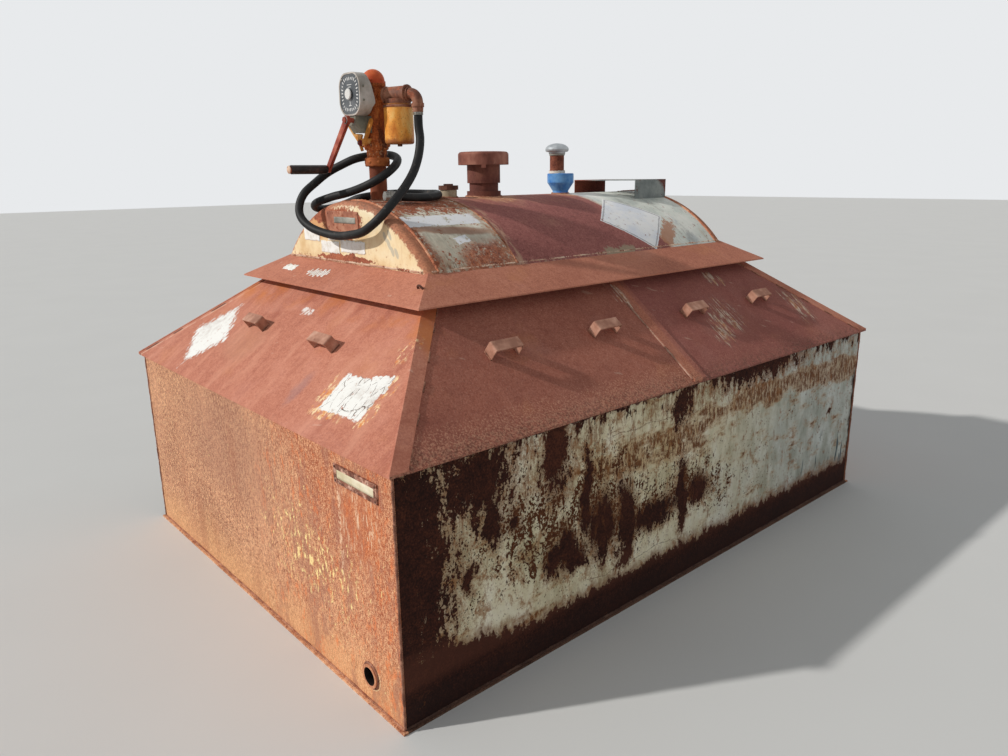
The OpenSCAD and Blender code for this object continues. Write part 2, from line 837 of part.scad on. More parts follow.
// Hose: one tube swept along its route
function unit(v) = v / norm(v);
function route() =
  [for (p = concat([hose_start, hose_start - [0, 0, 45]], hose_points)) pump_foot + p];
function along(p) = [
  for (i = [0 : len(p) - 1]) unit(p[min(i + 1, len(p) - 1)] - p[max(i - 1, 0)])
];
function carried(t) = [
  for (i = 0, n = [1, 0, 0]; i < len(t);
       i = i + 1, n = i < len(t) ? unit(n - (n * t[i]) * t[i]) : n) unit(n - (n * t[i]) * t[i])
];

module tube(p, r) {
  t = along(p);
  n = carried(t);
  rings = [
    for (i = [0 : len(p) - 1], k = [0 : tube_sides - 1])
      p[i] + r * (cos(k * 360 / tube_sides) * n[i] + sin(k * 360 / tube_sides) * cross(t[i], n[i]))
  ];
  last = (len(p) - 1) * tube_sides;
  polyhedron(rings, concat(
    [[for (k = [0 : tube_sides - 1]) k]],
    [for (i = [0 : len(p) - 2], k = [0 : tube_sides - 1])
      let (a = i * tube_sides, b = a + tube_sides, m = (k + 1) % tube_sides)
        [a + m, a + k, b + k, b + m]],
    [[for (k = [tube_sides - 1 : -1 : 0]) last + k]]
  ));
}

module hose() color("#1b1b1c") tube(route(), hose_r);

// Threaded end of the hose
module hose_end() color("#6b6258") {
  p = route();
  tip = p[len(p) - 1];
  d = unit(tip - p[len(p) - 2]);
  translate(tip + seat * d) rotate([0, acos(d[2]), atan2(d[1], d[0])]) {
    cylinder(r = hose_r + 2, h = 26);
    translate([0, 0, 26]) cylinder(r = hose_r + 5, h = 14, $fn = 6);
    translate([0, 0, 40]) cylinder(r = hose_r + 1, h = 18);
  }
}

// Vents and fill

module vent_riser() color("#6e3c32")
  on_tank(tank_z)
    translate([0, -vent_y, 0]) difference() {
      rotate_extrude() {
        translate([0, tank_top - foot_in]) square([vent_pipe_d / 2, vent_seat_z - tank_top + foot_in]);
        translate([0, tank_top - foot_in]) square([vent_pipe_d / 2 + 10, foot_in + 20]);
        translate([0, vent_seat_z]) square([vent_seat_d / 2, vent_rim_z - vent_seat_z]);
      }
      difference() {
        translate([0, 0, tank_z]) cylinder(d = vent_pipe_d - 12, h = tall);
        // bar across the bore that guides the lid's stem
        translate([-vent_pipe_d, -8, vent_rim_z - guide_down]) cube([2 * vent_pipe_d, 16, 8]);
      }
      translate([0, 0, tank_z]) cylinder(d = stem_d + 0.6, h = tall);
    }

// Weighted lid with a skirt, a stem and a small lug
module vent_lid() color("#6a372c")
  translate([0, -vent_y, vent_rim_z + seat]) {
    rotate_extrude() {
      r = vent_lid_d / 2;
      polygon([
        [0, 0], [r - 5, 0], [r - 5, -lid_skirt], [r, -lid_skirt], [r, lid_t - lid_round],
        for (a = [10 : 10 : 80]) [r - lid_round + lid_round * cos(a), lid_t - lid_round + lid_round * sin(a)],
        [r - lid_round, lid_t], [0, lid_t]
      ]);
    }
    translate([0, 0, -vent_rim_z + vent_seat_z]) cylinder(d = stem_d, h = vent_rim_z - vent_seat_z + 1);
    rotate([0, 0, -40]) translate([vent_lid_d / 2 - 9, -9, -lid_skirt - 12]) cube([9, 18, 14]);
  }

module reducer() color("#2e5f9e")
  on_tank(tank_z)
    translate([0, breather_y, tank_top]) rotate_extrude() polygon([
      [0, -foot_in], [reducer_foot_r, -foot_in], [reducer_foot_r, 12], [reducer_d / 2, 46],
      [reducer_d / 2, reducer_h - 3], [reducer_d / 2 - 3, reducer_h], [0, reducer_h]
    ]);

pipe_at = [0, breather_y - breather_off, tank_top + reducer_h + seat];

module breather_pipe() color("#8a4430")
  translate(pipe_at) difference() {
    union() {
      cylinder(d = pipe_d, h = breather_pipe_h);
      cylinder(d = pipe_d + 9, h = 12);
    }
    translate([0, 0, -1]) cylinder(d = pipe_bore, h = breather_pipe_h + 2);
  }

// Mushroom cap, open underneath round the pipe
module breather_cap() color("#8b9096")
  translate(pipe_at) translate([0, 0, breather_pipe_h + seat]) rotate_extrude() {
    r = breather_cap_d / 2;
    polygon([
      [0, 0], [pipe_d / 2 + 3, 0], [pipe_d / 2 + 6, 8], [r - 6, 8], [r - 2, 11],
      for (a = [0 : 10 : 80]) [r * cos(a), 17 + cap_rise * sin(a)], [0, 17 + cap_rise]
    ]);
  }

module fill_neck() color("#b0a48c")
  on_tank(tank_z)
    translate([0, -fill_y, tank_top - foot_in]) difference() {
      cylinder(d = fill_cap_d - 12, h = foot_in + fill_neck_h);
      translate([0, 0, -1]) cylinder(d = fill_cap_d - 24, h = tall);
    }

module fill_cap() color("#4a2a22")
  translate([0, -fill_y, tank_top + fill_neck_h + seat]) {
    cylinder(d = fill_cap_d, h = 16, $fn = 8);
    translate([0, 0, 16]) cylinder(d = fill_cap_d - 30, h = 6, $fn = 4);
  }

// Open-ended guard of bent sheet over the rear fittings
module top_guard() color("#8f928c")
  on_tank(tank_z)
    translate([0, guard_y - guard_l / 2, 0]) rotate([90, 0, 180]) linear_extrude(guard_l)
      difference() {
        translate([-guard_w / 2, tank_z]) square([guard_w, guard_z - tank_z]);
        translate([-guard_w / 2 + guard_t, tank_z - 1])
          square([guard_w - 2 * guard_t, guard_z - tank_z - guard_t + 1]);
      }

floor_plate();
front_wall();
back_wall();
left_wall();
right_wall();
drain_coupling();
plate_holder();
cover_front();
cover_back();
cover_right_front();
cover_right_rear();
cover_left_front();
cover_left_rear();
seam_strips();
end_handles();
side_handles();
flashing_front();
flashing_back();
flashing_left();
flashing_right();
shell_front();
shell_rear();
head_front();
head_back();
saddles();
pump_riser();
pump_union();
pump_column();
pump_cap();
meter_housing();
meter_dial();
gear_case();
nozzle_hook();
crank_arm();
crank_grip();
filter_head();
filter_canister();
outlet_elbow();
hose_coupling();
hose();
hose_end();
vent_riser();
vent_lid();
reducer();
breather_pipe();
breather_cap();
fill_neck();
fill_cap();
top_guard();
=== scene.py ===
"""Fuel tank in a steel dike with rain covers: the finish of every surface, the weld beads, labels,
small fittings and the hose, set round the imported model. Metres; X is the width, Y the length, the
pump end faces -Y, and Z is up from the ground."""

import math

import bpy
import numpy as np
from mathutils import Matrix, Vector


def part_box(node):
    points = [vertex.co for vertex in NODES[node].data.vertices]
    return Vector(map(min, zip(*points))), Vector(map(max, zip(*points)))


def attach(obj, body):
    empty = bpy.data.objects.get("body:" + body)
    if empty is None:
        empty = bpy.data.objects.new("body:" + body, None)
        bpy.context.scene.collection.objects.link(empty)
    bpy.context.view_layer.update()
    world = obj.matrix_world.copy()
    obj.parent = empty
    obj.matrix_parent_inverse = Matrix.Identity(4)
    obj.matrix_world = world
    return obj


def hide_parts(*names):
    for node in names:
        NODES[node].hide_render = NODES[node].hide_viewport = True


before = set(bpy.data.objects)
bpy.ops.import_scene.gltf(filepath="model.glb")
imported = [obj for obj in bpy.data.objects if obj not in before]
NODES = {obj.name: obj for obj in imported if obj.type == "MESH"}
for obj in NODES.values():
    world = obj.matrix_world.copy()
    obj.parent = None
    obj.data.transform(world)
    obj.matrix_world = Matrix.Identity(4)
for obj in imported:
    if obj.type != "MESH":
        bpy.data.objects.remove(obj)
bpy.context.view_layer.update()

# Camera: where the photograph was taken from, its turn in degrees, and its focal length in pixels
PHOTO_WIDE = 1008
FOCAL_PIXELS = 766.96
CAMERA_PLACE = Vector((2.3908, -2.1940, 1.4267))
CAMERA_AZIMUTH = 48.537
CAMERA_DROP = 14.826
CAMERA_ROLL = -0.741
SENSOR = 36.0

# Light: the way the key light travels, its strength and size, and the even light all round
KEY_TRAVEL = Vector((0.419, 0.751, -0.511))
KEY_STRENGTH = 2.5
KEY_SIZE = 0.03
FILL_STRENGTH = 0.37


def middle(node):
    """The middle of a node's box."""
    low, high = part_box(node)
    return (low + high) / 2


def half_wide(node):
    """Half the width of a node's box, which is the radius of a round one."""
    low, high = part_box(node)
    return (high.x - low.x) / 2


# Sizes read from the frame
WALL_X, _, WALL_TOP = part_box("right_wall")[1]
WALL_Y = -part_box("front_wall")[0].y
COVER_LOW, COVER_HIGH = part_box("cover_right_front")
COVER_X = COVER_HIGH.x
COVER_Y = -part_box("cover_front")[0].y
COVER_Z = COVER_LOW.z
COVER_SEAM_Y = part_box("cover_right_rear")[0].y
COVER_RUN = COVER_X - COVER_LOW.x
COVER_DROP = 0.0063
SLOPE = math.atan2(COVER_HIGH.z - COVER_Z - COVER_DROP, COVER_RUN)
EDGE_Z = COVER_Z + COVER_DROP
HIP_LAP = 0.055
FLASH_X, _, FLASH_LOW_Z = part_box("flashing_right")[0]
FLASH_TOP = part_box("flashing_right")[1].z
FLASH_SLOPE = math.radians(29.2)
FLASH_EDGE_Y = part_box("flashing_front")[0].y
FLASH_EDGE_Z = FLASH_LOW_Z + 0.0046
TANK_R, _, TANK_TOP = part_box("shell_rear")[1]
TANK_Z = TANK_TOP - TANK_R
COURSE_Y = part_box("shell_rear")[0].y
HEAD_SEAM_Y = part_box("shell_front")[0].y
HEAD_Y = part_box("head_front")[0].y
DRAIN = middle("drain_coupling")
DRAIN_R = half_wide("drain_coupling")
DRAIN_BORE = 0.0262
REDUCER_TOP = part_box("reducer")[1].z
PUMP_Y = -0.663
OUTLET_TURN = math.radians(15)
METER_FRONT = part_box("meter_housing")[0].y
METER_Z = middle("meter_housing").z


# Shader expressions

def linear(color):
    """Display values from 0 to 255 as linear light; a colour that varies stays as it is."""
    if len(color) == 1:
        return color[0]
    shares = [value / 255 for value in color]
    return (*(s / 12.92 if s <= 0.04045 else ((s + 0.055) / 1.055) ** 2.4 for s in shares), 1.0)


def operator(operation, swapped=False):
    """A Python operator that adds a Math node."""
    def apply(self, other=0.0):
        first, second = (other, self) if swapped else (self, other)
        return self.finish.math(operation, first, second)
    return apply


class Value:
    """A number or colour that varies over a surface: operators on it add Math nodes, and a | b is
    the larger of two, a & b the smaller."""
    def __init__(self, finish, socket):
        self.finish = finish
        self.socket = socket

    __add__ = __radd__ = operator("ADD")
    __mul__ = __rmul__ = operator("MULTIPLY")
    __sub__ = operator("SUBTRACT")
    __rsub__ = operator("SUBTRACT", swapped=True)
    __or__ = operator("MAXIMUM")
    __and__ = operator("MINIMUM")
    __abs__ = operator("ABSOLUTE")

    def rise(self, low, high):
        """0 below low, 1 above high, smooth between them; low above high turns it round."""
        settings = {"interpolation_type": "SMOOTHSTEP"}
        return self.finish.node("MapRange", settings, {0: self, 1: low, 2: high})

    def tint(self, *stops):
        """A colour ramp through stops, each a place and a colour."""
        stops = [(place, linear(color)) for place, *color in stops]
        return self.finish.node("ValToRGB", {"stops": stops}, {0: self})

    def lay(self, share, *color):
        """Lays a colour over this one, as thick as share says."""
        settings = {"data_type": "RGBA", "clamp_factor": True}
        inputs = {0: share, 6: self, 7: linear(color)}
        self.socket = self.finish.node("Mix", settings, inputs, 2).socket

    def stain(self, value, low, high, strength, *color):
        """Lays a colour over this one where a value goes from low to high."""
        self.lay(value.rise(low, high) * strength, *color)


FINISHES = {}


class Finish:
    """A material while it is being made."""
    def __init__(self, name):
        self.name = name
        self.material = bpy.data.materials.new(name)
        self.material.use_nodes = True
        self.tree = self.material.node_tree
        self.tree.nodes.clear()
        self.place = self.node("TexCoord", {}, {}, "Object")
        self.x, self.y, self.z = self.parts(self.place)

    def node(self, kind, settings, inputs, out=0):
        """Adds a node of a kind, with its settings, then its input values or links."""
        made = self.tree.nodes.new("ShaderNode" + kind)
        for key, setting in settings.items():
            if key == "stops":
                self.set_stops(made.color_ramp, setting)
            else:
                setattr(made, key, setting)
        for key, value in inputs.items():
            if isinstance(value, Value):
                self.tree.links.new(value.socket, made.inputs[key])
            else:
                made.inputs[key].default_value = value
        return Value(self, made.outputs[out] if made.outputs else None)

    @staticmethod
    def set_stops(ramp, stops):
        while len(ramp.elements) < len(stops):
            ramp.elements.new(1.0)
        for element, (place, color) in zip(ramp.elements, stops):
            element.position = place
            element.color = color

    def parts(self, vector):
        split = self.node("SeparateXYZ", {}, {0: vector}).socket.node
        return [Value(self, split.outputs[k]) for k in range(3)]

    def math(self, operation, first, second):
        return self.node("Math", {"operation": operation}, {0: first, 1: second})

    def vector_math(self, operation, inputs, out=0):
        return self.node("VectorMath", {"operation": operation}, inputs, out)

    def vector(self, x, y, z):
        return self.node("CombineXYZ", {}, {0: x, 1: y, 2: z})

    def mapped(self, shift=(0, 0, 0), turn=(0, 0, 0), size=(1, 1, 1), place=None, kind="POINT"):
        inputs = {0: place or self.place, 1: shift, 2: turn, 3: size}
        return self.node("Mapping", {"vector_type": kind}, inputs)

    def noise(self, scale, detail=3.0, rough=0.55, stretch=None, shift=None, place=None, warp=0.0):
        """Cloud noise about 0.5, with so many features a metre; stretch multiplies each axis."""
        place = place or self.place
        if stretch or shift:
            place = self.mapped(shift or (0, 0, 0), size=stretch or (1, 1, 1), place=place)
        inputs = {"Vector": place, "Scale": scale, "Detail": detail, "Roughness": rough,
                  "Distortion": warp}
        return self.node("TexNoise", {}, inputs, "Fac")

    def cells(self, scale, feature="F1", jitter=1.0, place=None):
        inputs = {"Vector": place or self.place, "Scale": scale, "Randomness": jitter}
        return self.node("TexVoronoi", {"feature": feature}, inputs, "Distance")

    def warped(self, scale, reach, place=None, detail=2.0):
        """Places moved about by a noise, by up to half of reach each way."""
        place = place or self.place
        inputs = {"Vector": place, "Scale": scale, "Detail": detail}
        swirl = self.node("TexNoise", {}, inputs, "Color")
        centred = self.vector_math("SUBTRACT", {0: swirl, 1: (0.5, 0.5, 0.5)})
        moved = self.vector_math("SCALE", {0: centred, "Scale": reach})
        return self.vector_math("ADD", {0: place, 1: moved})

    def local(self, place, u, v, half_u, half_v, turn=0.0, axis=0):
        """Places in half sizes from a middle, in the plane across an axis."""
        shift, size, turns = [u, v], [half_u, half_v], [0.0, 0.0]
        shift.insert(axis, 0.0)
        size.insert(axis, 1e6)
        turns.insert(axis, turn)
        return self.mapped(shift, turns, size, place, "TEXTURE")

    def spot(self, *oval, turn=0.0, axis=0):
        """How far out in an oval: 1 on its rim. The oval is a place, its middle and its half sizes."""
        return self.vector_math("LENGTH", {0: self.local(*oval, turn, axis)}, "Value")

    def spots(self, place, ovals, turn=0.0, axis=0):
        """The same for the nearest of several ovals."""
        nearest = self.spot(place, *ovals[0], turn=turn, axis=axis)
        for oval in ovals[1:]:
            nearest = nearest & self.spot(place, *oval, turn=turn, axis=axis)
        return nearest

    def diamond(self, *sizes):
        """The same for a diamond on a sheet seen along Z."""
        a, b, c = self.parts(self.vector_math("ABSOLUTE", {0: self.local(*sizes, axis=2)}))
        return a + b + c

    def square(self, *sizes, turn=0.0):
        """The same for a rectangle."""
        a, b, c = self.parts(self.vector_math("ABSOLUTE", {0: self.local(*sizes, turn, 2)}))
        return a | b | c

    def rusty(self, light, middle, dark, cloud=2.6, grain=1.0, spread=0.11):
        """Matte rust: clouds of three tones with a fine grain. Returns its tone, colour and relief."""
        mottle = self.noise(38 * grain, 4, 0.65)
        fine = self.noise(140 * grain, 3, 0.75)
        tone = self.noise(cloud, 4, 0.55) * 0.24 + mottle * 0.26 + fine * 0.50
        color = tone.tint((0.5 - spread, *dark), (0.5, *middle), (0.5 + spread, *light))
        return tone, color, mottle * 0.35 + fine * 0.65

    def scratches(self, scale, turn, low, high):
        """Thin short lines that run along a turned axis."""
        drawn_out = self.mapped(size=(1, 1 / 14, 1), place=self.mapped(turn=turn))
        return self.noise(scale, 2, 0.5, place=drawn_out).rise(low, high)

    def done(self, color, rough, height=None, depth=0.001, gloss=0.3, metal=None):
        """Ends the material: rough is a number, or a share and the two numbers that it goes between,
        and height times depth is the relief in metres."""
        if isinstance(rough, tuple):
            share, first, second = rough
            rough = self.node("Mix", {"data_type": "FLOAT"}, {0: share, 2: first, 3: second})
        inputs = {"Base Color": color, "Roughness": rough, "Specular IOR Level": gloss}
        if metal is not None:
            inputs["Metallic"] = metal
        if height is not None:
            bump = {"Strength": 1.0, "Distance": depth, "Height": height}
            inputs["Normal"] = self.node("Bump", {}, bump)
        shader = self.node("BsdfPrincipled", {}, inputs)
        self.node("OutputMaterial", {}, {"Surface": shader})
        FINISHES[self.name] = self.material


def finish(make):
    """Makes the material that a function describes, under the function's own name."""
    f = Finish(make.__name__)
    f.done(*make(f))
    return make


# Finishes of the covers

def cover_base(f, red=0, green=0, blue=0):
    """The red-brown rust of the covers and flashing, with pits, bleached clouds and dirt."""
    # red, green and blue shift the rust's tones; the side covers' darker shift is painted shade
    def cast(r, g, b):
        return r + red, g + green, b + blue

    rust = cast(216, 150, 124), cast(192, 123, 98), cast(152, 88, 70)
    _, color, relief = f.rusty(*rust, 2.2, 1.1, 0.19)
    color.stain(f.noise(5.5, 5, 0.6, shift=(3, 1, 7)), 0.55, 0.72, 0.35, 204, 136, 94)
    broad = f.noise(3.1, 5, 0.6, shift=(6, 2, 3), warp=0.6)
    color.stain(broad, 0.50, 0.70, 0.32, *cast(222, 160, 138))
    color.stain(broad, 0.48, 0.30, 0.32, *cast(160, 92, 74))
    pits = f.cells(120).rise(0.16, 0.05) * f.noise(9, 3).rise(0.45, 0.62)
    color.lay(pits * 0.75, 92, 52, 42)
    color.stain(f.noise(240, 2, 0.7, shift=(9, 4, 2)), 0.60, 0.72, 0.35, 226, 176, 158)
    return color, relief - pits * 0.6


@finish
def cover_rust(f):
    """Back cover and flashing, with splashes of dirt towards the lower edge."""
    color, relief = cover_base(f)
    color.lay(f.scratches(40, (0.3, 0.0, 0.5), 0.71, 0.75) * 0.45, 222, 190, 170)
    low = f.z.rise(COVER_Z + 0.07, COVER_Z) * f.noise(24, 4, 0.6).rise(0.4, 0.6)
    color.lay(low * 0.6, 112, 66, 50)
    return color, (relief, 0.72, 0.94), relief, 0.0009


def side_cover(f, *cast):
    """The same rust shifted by the given offsets, redder, with a crust at the lower edge and whitish scrapes
    near the rear handles; on the side covers the offsets darken it as painted shade.
    """
    color, relief = cover_base(f, *cast)
    rear = f.y.rise(COVER_SEAM_Y, COVER_SEAM_Y + 0.02)
    color.lay(rear * 0.34, 134, 78, 86)
    color.stain(f.noise(3.2, 5, 0.65, shift=(5, 5, 1)), 0.46, 0.66, 0.35, 140, 84, 72)
    grit = f.noise(170, 3, 0.7, shift=(4, 1, 6))
    color.stain(grit, 0.55, 0.68, 0.28, 212, 152, 128)
    color.stain(grit, 0.44, 0.32, 0.38, 92, 52, 42)
    edge = f.z.rise(COVER_Z + 0.055, COVER_Z + 0.012)
    crust = edge * f.noise(85, 5, 0.75).rise(0.46, 0.6)
    color.lay(crust * 0.6, 104, 74, 62)
    flake = edge * f.cells(170).rise(0.22, 0.08) * abs(f.y + 0.35).rise(0.55, 0.1)
    color.lay(flake * 0.8, 196, 160, 140)
    foot = (f.z + (grit - 0.5) * 0.05).rise(COVER_Z + 0.10, COVER_Z + 0.01)
    sand = (grit + foot * 0.10).rise(0.56, 0.66) * foot.rise(0.0, 0.4)
    color.lay(sand * (0.6 - rear * 0.45), 206, 152, 124)
    worn = f.noise(66, 5, 0.72, (0.13, 1, 0.13), place=f.warped(14, 0.02))
    # middle along Y, middle height, half length and half height of each scraped place
    places = ((0.42, 0.88, 0.12, 0.07), (0.56, 1.00, 0.07, 0.025), (0.33, 0.84, 0.09, 0.06),
              (0.95, 0.87, 0.08, 0.075), (-0.04, 0.99, 0.035, 0.05))
    scraped = f.spots(f.warped(9, 0.08), places).rise(1.25, 0.3)
    color.lay(scraped * worn.rise(0.42, 0.56) * 0.4, 128, 104, 98)
    paint = (worn + scraped * 0.14).rise(0.625, 0.70) * scraped.rise(0.02, 0.3)
    color.lay(paint * 0.85, f.noise(40, 3, 0.6).tint((0.42, 196, 142, 104), (0.56, 222, 200, 178)))
    color.lay(f.scratches(34, (0.5, 0.0, 0.2), 0.715, 0.75) * 0.4, 206, 170, 150)
    return color, (relief, 0.7, 0.92), relief + crust * 0.5, 0.0024, 0.2


# Side covers: the rust made darker by these offsets, as painted shade for the grazing light they get
@finish
def shaded_side_cover_rust(f):
    return side_cover(f, -22, -19, -13)


@finish
def strip_rust(f):
    return side_cover(f, -2, -4, -4)


@finish
def front_cover_rust(f):
    """Front cover: rust with the worn remains of a white diamond and of a torn white sheet."""
    color, relief = cover_base(f, 3, 2, 3)
    # the sheet's own plane: x across, y up the slope from the lower edge
    flat = f.vector(f.x, (f.y + COVER_Y) * (1 / math.cos(SLOPE)), 0.0)
    ragged = f.warped(60, 0.030, flat, 5)
    rough = f.warped(16, 0.03, ragged, 3)
    drift = f.noise(7, 5, 0.62, (1.7, 0.45, 1), place=flat)
    color.stain(drift, 0.50, 0.66, 0.5, 220, 156, 130)
    color.stain(drift, 0.48, 0.33, 0.5, 164, 94, 76)
    color.stain(f.spot(rough, -0.24, 0.22, 0.13, 0.11, axis=2), 1.2, 0.6, 0.35, 205, 150, 122)
    color.stain(f.spot(rough, 0.30, 0.12, 0.03, 0.07, axis=2), 1.3, 0.4, 0.4, 150, 118, 122)
    tear = f.noise(85, 4, 0.75, (1, 0.35, 1), place=flat)
    diamond = f.diamond(flat, -0.517, 0.194, 0.142, 0.150) + (tear - 0.5) * 1.5
    torn = f.square(ragged, 0.564, 0.160, 0.104, 0.068, turn=0.05)
    torn = torn & f.square(ragged, 0.628, 0.222, 0.044, 0.034, turn=0.25)
    holes = f.noise(38, 5, 0.7, place=flat)
    film = diamond.rise(1.0, 0.96) * holes.rise(0.30, 0.36)
    film = film | (torn.rise(1.03, 0.95) * holes.rise(0.33, 0.38))
    # orange and cream flakes at the sheet's sides and on the hip above it
    streaks = f.noise(60, 4, 0.7, (1, 0.4, 1), place=flat)
    corner = (f.x + (f.y + COVER_Y) * 1.6).rise(0.74, 0.62)
    fringe = torn.rise(1.55, 1.0) * (1 - torn.rise(1.02, 0.98))
    flakes = (streaks + fringe * 0.12 + corner * 0.05).rise(0.60, 0.66) * fringe.rise(0.0, 0.3)
    flakes = flakes * (f.x.rise(0.64, 0.68) | corner)
    hip = f.spot(rough, 0.62, 0.36, 0.035, 0.07, axis=2).rise(1.2, 0.6) * streaks.rise(0.53, 0.6)
    color.lay((flakes | hip) * 0.9, holes.tint((0.42, 226, 140, 72), (0.56, 250, 224, 178)))
    # the white film itself, stained and cracked
    white = f.noise(7, 3, 0.5, place=flat) * 0.5 + holes * 0.5
    white = white.tint((0.34, 214, 206, 198), (0.50, 246, 245, 240))
    white.stain(f.noise(48, 4, 0.7, place=flat), 0.58, 0.70, 0.6, 190, 160, 140)
    leaning = f.mapped(turn=(0, 0, 0.35), size=(1.9, 0.7, 1), place=f.warped(30, 0.022, flat, 4))
    cracks = f.cells(14, "DISTANCE_TO_EDGE", 0.9, leaning).rise(0.021, 0.006)
    white.lay(cracks * torn.rise(1.1, 1.0) * holes.rise(0.60, 0.48), 100, 82, 72)
    patch = f.square(ragged, -0.035, 0.397, 0.034, 0.016).rise(1.2, 0.9) * holes.rise(0.42, 0.52)
    color.lay(film | (patch * 0.8), white)
    # the lap of the left hip: a pale edge, then dark slots between the tacks
    off = (f.x + COVER_X) - (f.y + COVER_Y)
    slots = f.noise(15, 1, 0.3, (0, 1, 0)).rise(0.50, 0.53) * off.rise(0.026, 0.022) * off.rise(0.010, 0.014)
    color.lay(slots * 0.9, 52, 32, 28)
    fold = off.rise(0.040, 0.034) * off.rise(0.024, 0.028) * streaks.rise(0.42, 0.52)
    color.lay(fold * 0.6, 232, 196, 172)
    # orange cast along the upper edge
    color.lay(f.y.rise(-0.99, -0.93) * f.noise(6, 4).rise(0.42, 0.62) * 0.7, 206, 124, 68)
    color.lay(f.scratches(40, (0.0, 0.0, 1.2), 0.72, 0.76) * 0.35, 228, 188, 168)
    return color, (film, 0.86, 0.5), relief * (1 - film) + film * 1.2, 0.0008


# Finishes of the dike

@finish
def orange_rust_wall(f):
    """End walls: orange-tan rust with fine upright streaks and flecks of old yellow-cream paint."""
    tone, color, relief = f.rusty((226, 166, 126), (203, 140, 106), (130, 76, 56), 2.0, 2.2, 0.060)
    upright = f.noise(225, 4, 0.72, (1, 1, 0.42))
    color.stain(upright, 0.52, 0.62, 0.8, 250, 200, 152)
    color.stain(upright, 0.48, 0.39, 0.9, 118, 58, 38)
    grit = f.noise(310, 2, 0.65, shift=(1, 2, 3))
    color.stain(grit, 0.55, 0.63, 0.8, 252, 212, 170)
    color.stain(grit, 0.44, 0.36, 0.9, 98, 48, 32)
    # greyer upper middle, redder right side, paler foot
    color.stain(f.spot(f.warped(4, 0.2), -0.12, 0.56, 0.48, 0.26, axis=1), 1.3, 0.3, 0.42, 158, 112, 94)
    red = (f.x + f.noise(5, 4) * 0.5).rise(0.25, 0.85) * tone.rise(0.58, 0.44)
    color.lay(red * 0.42, 204, 104, 60)
    color.stain(f.z + f.noise(6, 4) * 0.2, 0.34, 0.10, 0.42, 236, 180, 124)
    bands = f.noise(5.5, 4, 0.6, (1, 1, 0.22), (2, 0, 1))
    color.stain(bands, 0.52, 0.68, 0.28, 222, 164, 128)
    color.stain(bands, 0.46, 0.32, 0.28, 166, 102, 74)
    # dull and bright orange streaks on the right half
    right = f.x.rise(-0.05, 0.35)
    dull = f.noise(14, 5, 0.7, (1, 1, 0.42), (5, 0, 3)).rise(0.50, 0.62) * right
    color.lay(dull * 0.45, 152, 98, 84)
    fire = f.noise(40, 5, 0.76, (1, 1, 0.32), (1, 0, 8)) + f.x.rise(0.74, 0.86) * 0.03
    color.lay(fire.rise(0.54, 0.62) * right * upright.rise(0.34, 0.60) * 0.62, 228, 116, 54)
    # flecks, thickest right of the middle
    field = f.spot(f.warped(5, 0.16), 0.46, 0.33, 0.36, 0.20, axis=1).rise(1.5, 0.0)
    flecks = (f.noise(62, 5, 0.75, (1, 1, 0.5), (0.3, 0, 0.2)) + field * 0.13).rise(0.665, 0.69)
    color.lay(flecks, 252, 224, 156)
    # pale crescent beside the drain
    ring = f.spot(f.warped(40, 0.006), DRAIN.x, DRAIN.z, DRAIN_R, DRAIN_R, axis=1)
    beside = (f.x - DRAIN.x - f.z + DRAIN.z).rise(-0.01, 0.03) * grit.rise(0.40, 0.5)
    color.lay(ring.rise(1.34, 1.24) * ring.rise(1.06, 1.12) * beside * 0.7, 246, 214, 166)
    # thin streaks under the holder of the name plate
    drip = f.spot(f.warped(7, 0.03), 0.745, 0.54, 0.12, 0.15, axis=1).rise(1.2, 0.5)
    color.lay(drip * 0.30, 208, 112, 60)
    runs = f.noise(120, 5, 0.72, (1, 1, 0.16)).rise(0.575, 0.62)
    trail = f.spot(f.warped(20, 0.02), 0.642, 0.50, 0.009, 0.16, axis=1).rise(1.4, 0.6)
    trail = trail * upright.rise(0.47, 0.54) * f.noise(40, 4, 0.7).rise(0.44, 0.52)
    color.lay((drip * runs | trail) * 0.75, 244, 212, 178)
    pits = f.cells(150).rise(0.17, 0.04)
    color.lay(pits * 0.6, 112, 62, 46)
    return color, (tone, 0.75, 0.95), relief * 0.7 + upright * 0.3 + flecks * 0.4 - pits * 0.5, 0.0009


# Bare rusty places of the pale side walls: middle along Y, middle height, half length, half height
WALL_RUST = (
    (-1.225, 0.42, 0.148, 0.62), (-0.975, 0.635, 0.125, 0.115), (-0.69, 0.655, 0.055, 0.11),
    (-0.935, 0.505, 0.030, 0.060), (-1.02, 0.36, 0.022, 0.04), (-0.85, 0.47, 0.026, 0.022),
    (-0.56, 0.47, 0.020, 0.13), (-0.695, 0.30, 0.034, 0.05), (-0.645, 0.325, 0.030, 0.07),
    (-0.60, 0.275, 0.045, 0.034), (-0.485, 0.33, 0.065, 0.10), (-0.366, 0.315, 0.042, 0.125),
    (-0.215, 0.30, 0.13, 0.045), (-0.063, 0.315, 0.024, 0.140), (0.035, 0.315, 0.07, 0.04),
    (-0.07, 0.66, 0.045, 0.07), (-0.55, 0.52, 0.018, 0.07), (1.03, 0.395, 0.012, 0.012),
    (0.40, 0.72, 0.30, 0.05),
)


